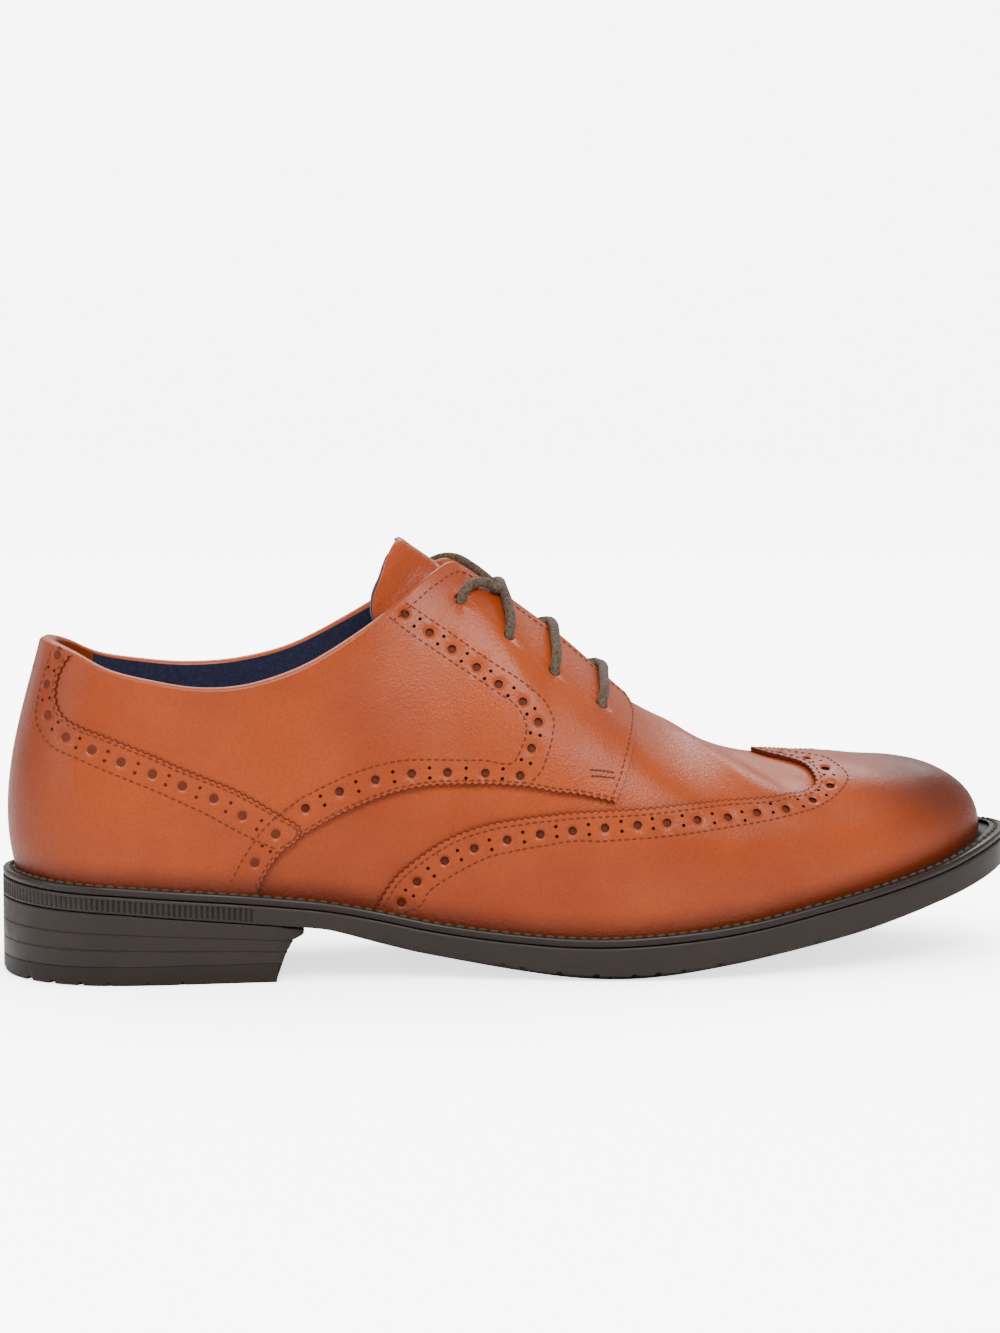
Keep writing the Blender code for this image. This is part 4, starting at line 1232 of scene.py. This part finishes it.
# Sole
def section_sheet(name, shares, profile, materials, replaces):
    """A piece whose section runs from the outer side's profile to the inner side's."""
    columns = len(profile(0.5, -1))
    mesh = bmesh.new()
    bmesh.ops.create_grid(mesh, x_segments=len(shares) - 1, y_segments=2 * columns - 1, size=0.5)
    table = np.zeros((len(shares), 2 * columns, 3))
    for i, share in enumerate(shares):
        table[i, :columns] = profile(share, -1)
        table[i, columns:] = profile(share, 1)[::-1]
    i = np.rint((np.array([v.co.x for v in mesh.verts]) + 0.5) * (len(shares) - 1)).astype(int)
    j = np.rint((np.array([v.co.y for v in mesh.verts]) + 0.5) * (2 * columns - 1)).astype(int)
    settle(mesh, table[i, j])
    bmesh.ops.remove_doubles(mesh, verts=mesh.verts, dist=0.005 * MM)
    bmesh.ops.dissolve_degenerate(mesh, edges=mesh.edges, dist=0.002 * MM)
    bmesh.ops.recalc_face_normals(mesh, faces=mesh.faces)
    return finish_piece(name, mesh, materials, replaces, sharp=35.0)


def bottom(station):
    return np.maximum(sole_bottom(station), 0.0)


def tread(station):
    fore = np.clip((np.asarray(station, float) - HEEL_BREAST) / SPRING_RUN, 0.0, 1.0)
    return np.maximum(sole_bottom(station) - TREAD_DROP * fore, 0.0)


# Stations of the tread's grooves seen along the sole's edge and along the top lift's edge.
NOTCHES = (143.0, 148.3, 158.8, 169.3, 180.3, 187.3, 194.9, 205.5, 220.6, 236.3, 248.0, 253.5)
LIFT_NOTCHES = (6.7, 12.9, 20.8, 28.7, 39.7, 49.9)
NOTCH_HIGH = 1.0
NOTCH_HALF = 0.65


def notch(station, places):
    """How far the tread's grooves cut into the bottom edge at a station."""
    return sum(NOTCH_HIGH * math.exp(-(((station - n) / NOTCH_HALF) ** 4)) for n in places)


def section_points(side, share, rows, deep, portion):
    """Points of a section; those further in than deep stand at a portion of the half width."""
    x, y, _, _ = edge(side, share)
    middle = swing(x)
    made = []
    for inset, z in rows:
        px, py, _, _ = edge(side, share, inset)
        if inset > deep:
            px = x
            py = middle + (y - middle) * portion
        made.append((float(px), float(py), z))
    return made


# The ribbed band ends this far short of the heel's breast.
RIBS_SHORT = 6.0


def outsole_profile(share, side):
    """The sole's section at one share: top, rim, ribbed band and tread."""
    x = float(edge(side, share)[0])
    high = float(sole_top(x))
    low = float(bottom(x))
    under = float(tread(x))
    arc = share * CURVES[side][3]
    wave = 0.5 - 0.5 * math.cos(2 * math.pi * arc / RIB_PITCH)
    depth = RIB_DEPTH * wave**2 if x < HEEL_BREAST - RIBS_SHORT else 0.0
    cutting = notch(x, NOTCHES)
    rows = (
        # inset, height
        (14.0, high),
        (0.9, high),
        (0.25, high - 0.1),
        (0.0, high - 0.5),
        (0.0, high - 0.9),
        (depth, high - 1.0),
        (depth, low + 0.9),
        (0.0, low + 0.8),
        (0.0, low + 0.55),
        (0.15, low + 0.18 + cutting),
        (0.6, low + cutting),
        (TREAD_INSET - 1.4, under + (low - under) * 0.3 + cutting),
        (TREAD_INSET - 0.8, under),
        (14.0, under),
    )
    return section_points(side, share, rows, 6.0, 0.55)


# Eight steps to a rib round the heel seat, coarser ones from there to the toe.
heel_arc = 0.0
while float(edge(-1, heel_arc)[0]) < HEEL_BREAST:
    heel_arc += 0.002
arc_length = CURVES[-1][3]
fine_heel = np.arange(0.0, heel_arc * arc_length, RIB_PITCH / 8) / arc_length
fine_fore = np.linspace(fine_heel[-1], 1.0, 480)[1:]
rim_shares = np.concatenate([fine_heel, fine_fore])
section_sheet("outsole_rubber", rim_shares, outsole_profile, [SOLE], ["outsole"])


def welt_profile(share, side):
    """The welt's section at one share, with its rounded edge."""
    low = float(sole_top(float(edge(side, share)[0]))) + GAP
    high = low + WELT_THICK
    rows = (
        # inset, height
        (12.0, low),
        (0.9, low),
        (0.35, low + 0.15),
        (0.1, low + 0.7),
        (0.0, low + 1.2),
        (0.1, high - 0.45),
        (0.35, high - 0.12),
        (0.75, high),
        (2.0, high - 0.15),
        (4.5, high - 0.2),
        (12.0, high - 0.2),
    )
    return section_points(side, share, rows, 5.0, 0.6)


section_sheet("welt", np.linspace(0.0, 1.0, 360), welt_profile, [WELT], ["welt_midsole"])


# How far in from the edge the welt's stitches lie, and half their length, width and height.
WELT_STITCH_INSET = 2.5
WELT_STITCH_HALVES = (1.35, 0.62, 0.55)
AHEAD = 0.002


def build_welt_stitches():
    """The row of stitches all round the top of the welt."""
    mesh = bmesh.new()
    size = Matrix.Diagonal((*(half * MM for half in WELT_STITCH_HALVES), 1.0))
    for side in (-1, 1):
        count = int(CURVES[side][3] / WELT_STITCH_PITCH)
        for k in range(count + 1):
            share = (k + 0.5) / (count + 1)
            x, y, ox, oy = (float(v) for v in edge(side, share, WELT_STITCH_INSET))
            ahead = edge(side, min(share + AHEAD, 1.0), WELT_STITCH_INSET)
            high = float(sole_top(float(edge(side, share)[0])))
            next_high = float(sole_top(float(edge(side, min(share + AHEAD, 1.0))[0])))
            along = Vector((float(ahead[0]) - x, float(ahead[1]) - y, next_high - high))
            if along.length < TINY:
                along = Vector((-oy, ox, 0.0))
            along.normalize()
            across = Vector((0.0, 0.0, 1.0)).cross(along).normalized()
            turn = Matrix((along, across, along.cross(across))).transposed().to_4x4()
            spot = Matrix.Translation(place((x, y, high + GAP + WELT_THICK - 0.05))) @ turn @ size
            bmesh.ops.create_icosphere(mesh, subdivisions=2, radius=1.0, matrix=spot)
    finish_piece("welt_stitches", mesh, [WELT_THREAD], sharp=180.0)


build_welt_stitches()


# How the breast flares from the lift to the sole.
HEEL_HOLLOW = (
    # share of the block's height, share of BREAST_FLARE
    (0.00, 0.25), (0.19, 0.33), (0.45, 0.50), (0.66, 0.66), (0.75, 0.84), (0.83, 0.97), (1.00, 1.00),
)


def heel_ring(height, inset, flare, count=90):
    """One level of the heel, evenly spaced points round the back and across the hollow breast."""
    ring = []
    ends = [np.interp(HEEL_BREAST, CURVES[s][1][:, 0], CURVES[s][0]) for s in (-1, 1)]
    for side, end in zip((-1, 1), ends):
        shares = end * np.linspace(1.0, 0.0, count)
        column = [tuple(float(v) for v in edge(side, share, inset)[:2]) for share in shares]
        if side > 0:
            column = column[-2::-1]
        ring += column
    outer = ring[0][1]
    inner = ring[-1][1]
    for portion in (0.985, 0.96, 0.92, 0.85, 0.7, 0.5, 0.3, 0.15, 0.08, 0.04, 0.015):
        bow = min(min(portion, 1 - portion) / 0.05, 1.0)
        ring.append((HEEL_BREAST + flare * (1 - (1 - bow) ** 2), outer + (inner - outer) * portion))
    return [(x, y, float(height(x))) for x, y in ring]


def stack(name, rings, materials, replaces):
    """A closed piece through rings, skinned by bridging them."""
    mesh = bmesh.new()
    loops = []
    for ring in rings:
        made = [mesh.verts.new(place(p)) for p in ring]
        loops.append([mesh.edges.new((made[i], made[(i + 1) % len(made)])) for i in range(len(made))])
    for a, b in zip(loops, loops[1:]):
        bmesh.ops.bridge_loops(mesh, edges=a + b)
    bmesh.ops.triangle_fill(mesh, edges=loops[0], use_beauty=True)
    bmesh.ops.triangle_fill(mesh, edges=loops[-1], use_beauty=True)
    bmesh.ops.recalc_face_normals(mesh, faces=mesh.faces)
    return finish_piece(name, mesh, materials, replaces, sharp=35.0)


# Points along each side of the top lift, fine enough for its grooves.
LIFT_POINTS = 240
# Levels of the heel block as shares of its height, which of them carry a line, and the line's section.
HEEL_LEVELS = (0.08, 0.15, 0.23, 0.31, 0.38, 0.46, 0.54, 0.62, 0.66, 0.70, 0.74, 0.78, 0.82, 0.86, 0.93)
HEEL_LINES = (0.31, 0.62)
LINE_DEPTH = 0.22
LINE_SECTION = (
    # shift up, inset
    (-0.3, 0.0), (-0.1, LINE_DEPTH), (0.1, LINE_DEPTH), (0.3, 0.0),
)


def build_heel():
    """The top lift and the heel block."""
    lift = [
        heel_ring(lambda x: 0.0, 3.6, 0.0, LIFT_POINTS),
        heel_ring(lambda x: notch(x, LIFT_NOTCHES), 3.0, 0.0, LIFT_POINTS),
        heel_ring(lambda x: notch(x, LIFT_NOTCHES), 0.9, 0.0, LIFT_POINTS),
        heel_ring(lambda x: 0.35 + notch(x, LIFT_NOTCHES), 0.5, 0.0, LIFT_POINTS),
        heel_ring(lambda x: 1.6, 0.0, 0.6, LIFT_POINTS),
        heel_ring(lambda x: LIFT_THICK - 0.15, 0.0, 2.0, LIFT_POINTS),
        heel_ring(lambda x: LIFT_THICK, 0.15, 2.1, LIFT_POINTS),
    ]
    stack("top_lift_rubber", lift, [LIFT], ["top_lift"])
    foot = LIFT_THICK + 0.05

    def level(portion, shift=0.0):
        return lambda x: foot + portion * (float(tread(x)) - GAP - foot) + shift

    levels = [(0.0, 0.0, 0.15), (0.0, 0.15, 0.0)]
    for portion in HEEL_LEVELS:
        if portion in HEEL_LINES:
            levels += [(portion, shift, inset) for shift, inset in LINE_SECTION]
        else:
            levels.append((portion, 0.0, 0.0))
    levels += [(1.0, -0.3, 0.0), (1.0, 0.0, 0.3)]
    hollow = np.array(HEEL_HOLLOW)
    rings = []
    for portion, shift, inset in levels:
        flare = BREAST_FLARE * float(blend(hollow[:, 0], hollow[:, 1], portion))
        rings.append(heel_ring(level(portion, shift), inset, flare))
    stack("heel_rubber", rings, [SOLE], ["heel_block"])


build_heel()


# Inside
def sock(u, v):
    """The sock on the insole, turned up a little at its edge."""
    share = u
    side = one_side_on_seams(np.where(v < 0.5, -1, 1), share)
    rise = np.interp(share, (0.88, 0.95), (0.0, 0.08))
    edge_points = on_form(side, share, rise, BASE_LIFT - WALL - 0.3)
    middle = swing(edge_points[:, 0])
    portion = np.abs(2 * v - 1)
    y = middle + (edge_points[:, 1] - middle) * portion
    height = sole_top(edge_points[:, 0]) + WELT_THICK + 2 * GAP + INSOLE_THICK
    cup = 1.2 * np.clip((portion - 0.75) / 0.25, 0.0, 1.0) ** 2
    return np.stack([edge_points[:, 0], y, height + cup + 0.2], -1)


grid("sock", 160, 24, sock, [HEEL_LINING], ["insole"])


# Points across each row of the tongue, and rows of the fine sheet.
TONGUE_POINTS = 11
TONGUE_STEPS = 120


def tongue_rows():
    """Rows of points of the tongue's outer face, from under the vamp to its tip."""
    rows = []
    for share in TONGUE_ROWS:
        sunk = TONGUE_SINK * np.clip((share - 0.62) / 0.05, 0.0, 1.0)
        high = BASE_LIFT - WALL - 2 * GAP - sunk
        foot_rise = np.interp(share, (0.535, 0.625), (0.78, 0.70))
        rises = np.linspace(foot_rise, 1.0, 5)
        outer = [form(-1, share, r, high) for r in rises]
        inner = [form(1, share, r, high) for r in rises]
        ridge = (outer[-1] + inner[-1]) / 2
        row = outer + [ridge] + inner[::-1]
        if share >= THROAT_SHARE:
            row[4] = (row[3] + ridge) / 2
            row[6] = (row[7] + ridge) / 2
        rows.append(row)
    for mid_along, mid_height, edge_along, edge_height, half, twist in TONGUE_TOP:
        row = []
        for b in np.linspace(-1.0, 1.0, TONGUE_POINTS):
            x = (mid_along + (edge_along - mid_along) * b * b) * LENGTH
            z = (mid_height + (edge_height - mid_height) * b * b) * UPPER_HEIGHT
            x += TONGUE_TWIST * twist * max(b, 0.0) ** 2
            row.append(np.array([x, b * half * BALL_WIDTH, z]))
        rows.append(row)
    return np.array(rows)


# The tongue's thickness in the visual model.
TONGUE_SEEN = 1.6


def build_tongue():
    """The tongue, leather outside and lining inside."""
    rows = tongue_rows()
    count = rows.shape[0]

    def where(u, v):
        keys = np.arange(count)
        fine = np.linspace(0, count - 1, TONGUE_STEPS + 1)
        dense = np.array(
            [[blend(keys, rows[:, j, k], fine) for k in range(3)] for j in range(TONGUE_POINTS)]
        )
        row = np.rint(u * TONGUE_STEPS).astype(int)
        across = np.arange(float(TONGUE_POINTS))
        points = np.zeros((len(u), 3))
        for i in range(TONGUE_STEPS + 1):
            pick = row == i
            for k in range(3):
                points[pick, k] = blend(across, dense[:, k, i], v[pick] * (TONGUE_POINTS - 1))
        return points

    piece = grid("tongue_leather", TONGUE_STEPS, 40, where, [TAN_PLAIN, NAVY], ["tongue"])
    solid = piece.modifiers.new("thickness", "SOLIDIFY")
    solid.thickness = TONGUE_SEEN * MM
    solid.offset = -1.0
    solid.material_offset = 1
    solid.material_offset_rim = 1


build_tongue()


# Laces
def cord(name, runs, replaces):
    """A round cord through each run of points, as one curve object."""
    curve = bpy.data.curves.new(name, "CURVE")
    curve.dimensions = "3D"
    curve.bevel_depth = LACE_DIAMETER / 2 * MM
    curve.bevel_resolution = 5
    curve.resolution_u = 10
    curve.use_fill_caps = True
    for run in runs:
        spline = curve.splines.new("NURBS")
        spline.points.add(len(run) - 1)
        for point, at in zip(spline.points, run):
            point.co = (*place(at), 1.0)
        spline.use_endpoint_u = True
        spline.order_u = 3
    piece = bpy.data.objects.new(name, curve)
    bpy.context.scene.collection.objects.link(piece)
    curve.materials.append(LACE)
    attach(piece, "root")
    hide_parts(replaces)


# Where the two strands of a pair of eyelets cross, as a share of their reach, and the way up there.
LACE_MEET = (0.85, 0.85, 0.97, 0.99)
LACE_UP = np.array([0.55, 0.0, 0.83])


def out_of_eyelet(side, index):
    """The first two points of a strand, below its eyelet and in it."""
    share, rise = EYELETS[index]
    return [form(side, share - 0.002, rise - 0.02, -2.6), form(side, share, rise, -0.4)]


def meeting(index):
    """Share and ridge point where the strands of a pair of eyelets cross."""
    meet = EYELETS[index][0] + LACE_MEET[index] * LACE_AHEAD[index]
    return meet, (form(-1, meet, 1.0) + form(1, meet, 1.0)) / 2


def crossing(side, index, over):
    """A strand from its eyelet over the facings' gap and down under the other facing's edge."""
    share, rise = EYELETS[index]
    ahead = LACE_AHEAD[index]
    meet, ridge = meeting(index)
    return out_of_eyelet(side, index) + [
        form(side, share + 0.22 * ahead, rise + 0.25 * (1 - rise), 1.9),
        form(side, share + 0.64 * ahead, rise + 0.70 * (1 - rise), 1.9),
        form(side, meet - 0.04 * ahead, 0.99, 1.9),
        ridge + LACE_UP * (0.7 + over),
        form(-side, meet - 0.15 * ahead, 1.0, -2.0) + (0.0, side * 1.2, 0.0),
        form(-side, meet - 0.30 * ahead, 0.97, -3.8),
        form(-side, meet - 0.50 * ahead, 0.90, -5.2),
    ]


cord("lace_bottom_crossing", [crossing(-1, 3, 0.9), crossing(1, 3, -0.5)], "lace_low")
cord("lace_middle_crossing", [crossing(-1, 2, 0.9), crossing(1, 2, -0.3)], "lace_mid")


def top_end(side):
    """The end of the lace from a top eyelet forward to the crossing, where it goes under."""
    share, rise = EYELETS[0]
    meet, ridge = meeting(1)
    return out_of_eyelet(side, 0) + [
        form(side, share + 0.011, rise + 0.022, 1.9),
        form(side, share + 0.030, rise + 0.052, 2.2),
        form(side, share + 0.046, rise + 0.066, 1.9),
        form(side, meet - 0.004, 0.985, 0.6),
        ridge + np.array([3.0, -side * 2.4, -4.4]),
    ]


def far_end():
    """The inner side's end, up at the back of the facings and forward on the ridge."""
    share, rise = EYELETS[0]
    _, ridge = meeting(1)
    return out_of_eyelet(1, 0) + [
        form(1, share - 0.006, rise + 0.55 * (1 - rise), 2.0),
        form(1, share - 0.004, 1.0, 1.5),
        form(1, share + 0.020, 1.0, 1.8),
        form(1, share + 0.042, 1.0, 1.4) + (0.0, -2.0, 0.0),
        ridge + LACE_UP * 0.3,
        ridge + np.array([3.0, -2.4, -4.4]),
    ]


cord("lace_top_crossing", [crossing(-1, 1, 1.9), crossing(1, 1, 0.2), top_end(-1), far_end()], "lace_top")


# Room, light and camera
# How brightly the paper shows to the camera alone, where the paper starts and where it bends up.
PAPER_GLOW = 6.1
PAPER_START = -3.2
PAPER_BEND = 5.5
BEND_RADIUS = 1.2


def build_room():
    """A sheet of pale paper on the floor, bent up at the back, glowing to the camera and dimmed near the
    shoe by a painted contact shadow.
    """
    mesh = bmesh.new()
    bmesh.ops.create_grid(mesh, x_segments=8, y_segments=60, size=0.5)
    for v in mesh.verts:
        far = 9.0 * (v.co.y + 0.5)
        turn = min(max((far - PAPER_BEND) / 1.5, 0.0), 1.0) * math.pi / 2
        y = min(far, PAPER_BEND) + BEND_RADIUS * math.sin(turn) + PAPER_START
        z = BEND_RADIUS * (1 - math.cos(turn)) + max(far - 7.0, 0.0) * 2.2
        v.co = (v.co.x * 16.0, y, z)
    bmesh.ops.recalc_face_normals(mesh, faces=mesh.faces)
    data = bpy.data.meshes.new("backdrop")
    mesh.to_mesh(data)
    mesh.free()
    for polygon in data.polygons:
        polygon.use_smooth = True
    floor = bpy.data.objects.new("backdrop", data)
    bpy.context.scene.collection.objects.link(floor)
    m = Material("pale_paper")
    m.link(m.mix(m.noise(3.0), (0.93, 0.93, 0.93), (0.90, 0.90, 0.90)), m.shader.inputs["Base Color"])
    # Painted contact shadow: the glow is dimmed where the shoe hides the sky.
    near = m.node("AmbientOcclusion", Distance=0.16, samples=2)
    painted_shadow_dim = m.ramp(near.outputs["AO"], 0.20, 0.97, 0.30, 1.0)
    glow = m.math("MULTIPLY", m.node("LightPath").outputs["Is Camera Ray"], PAPER_GLOW)
    glow = m.math("MULTIPLY", glow, painted_shadow_dim)
    m.set(Roughness=0.9, Specular_IOR_Level=0.1, Emission_Color=(1.0, 1.0, 1.0, 1.0), Emission_Strength=glow)
    data.materials.append(m.made)


def aimed(where, aim):
    """The turn of a lamp or camera that looks from where to aim."""
    return (Vector(aim) - Vector(where)).to_track_quat("-Z", "Y").to_euler()


def lamp(name, where, aim, size, power):
    """A white area lamp."""
    data = bpy.data.lights.new(name, "AREA")
    data.shape = "RECTANGLE"
    data.size = size[0]
    data.size_y = size[1]
    data.energy = power
    light = bpy.data.objects.new(name, data)
    bpy.context.scene.collection.objects.link(light)
    light.location = where
    light.rotation_euler = aimed(where, aim)


build_room()
world = bpy.data.worlds.new("studio")
bpy.context.scene.world = world
world.use_nodes = True
background = world.node_tree.nodes["Background"]
background.inputs["Color"].default_value = (1.0, 1.0, 1.0, 1.0)
background.inputs["Strength"].default_value = 0.75
lamp("key", (0.25, -1.1, 1.35), (0.12, 0.0, 0.05), (1.2, 0.6), 36.0)
lamp("back", (0.2, 1.0, 1.1), (0.12, 0.0, 0.06), (1.6, 0.4), 22.0)
lamp("left", (-1.2, -0.5, 0.7), (0.0, 0.0, 0.06), (0.7, 0.9), 9.0)

# The camera fitted to the photograph.
CAMERA_AT = (-0.08629, -1.26752, 0.23834)
CAMERA_AIM = (0.1115, -0.0185, 0.08956)
camera_data = bpy.data.cameras.new("camera")
camera_data.sensor_width = 36.0
camera_data.lens = 116.835
camera_data.clip_end = 30.0
camera = bpy.data.objects.new("camera", camera_data)
bpy.context.scene.collection.objects.link(camera)
camera.location = CAMERA_AT
camera.rotation_euler = aimed(CAMERA_AT, CAMERA_AIM)
bpy.context.scene.camera = camera
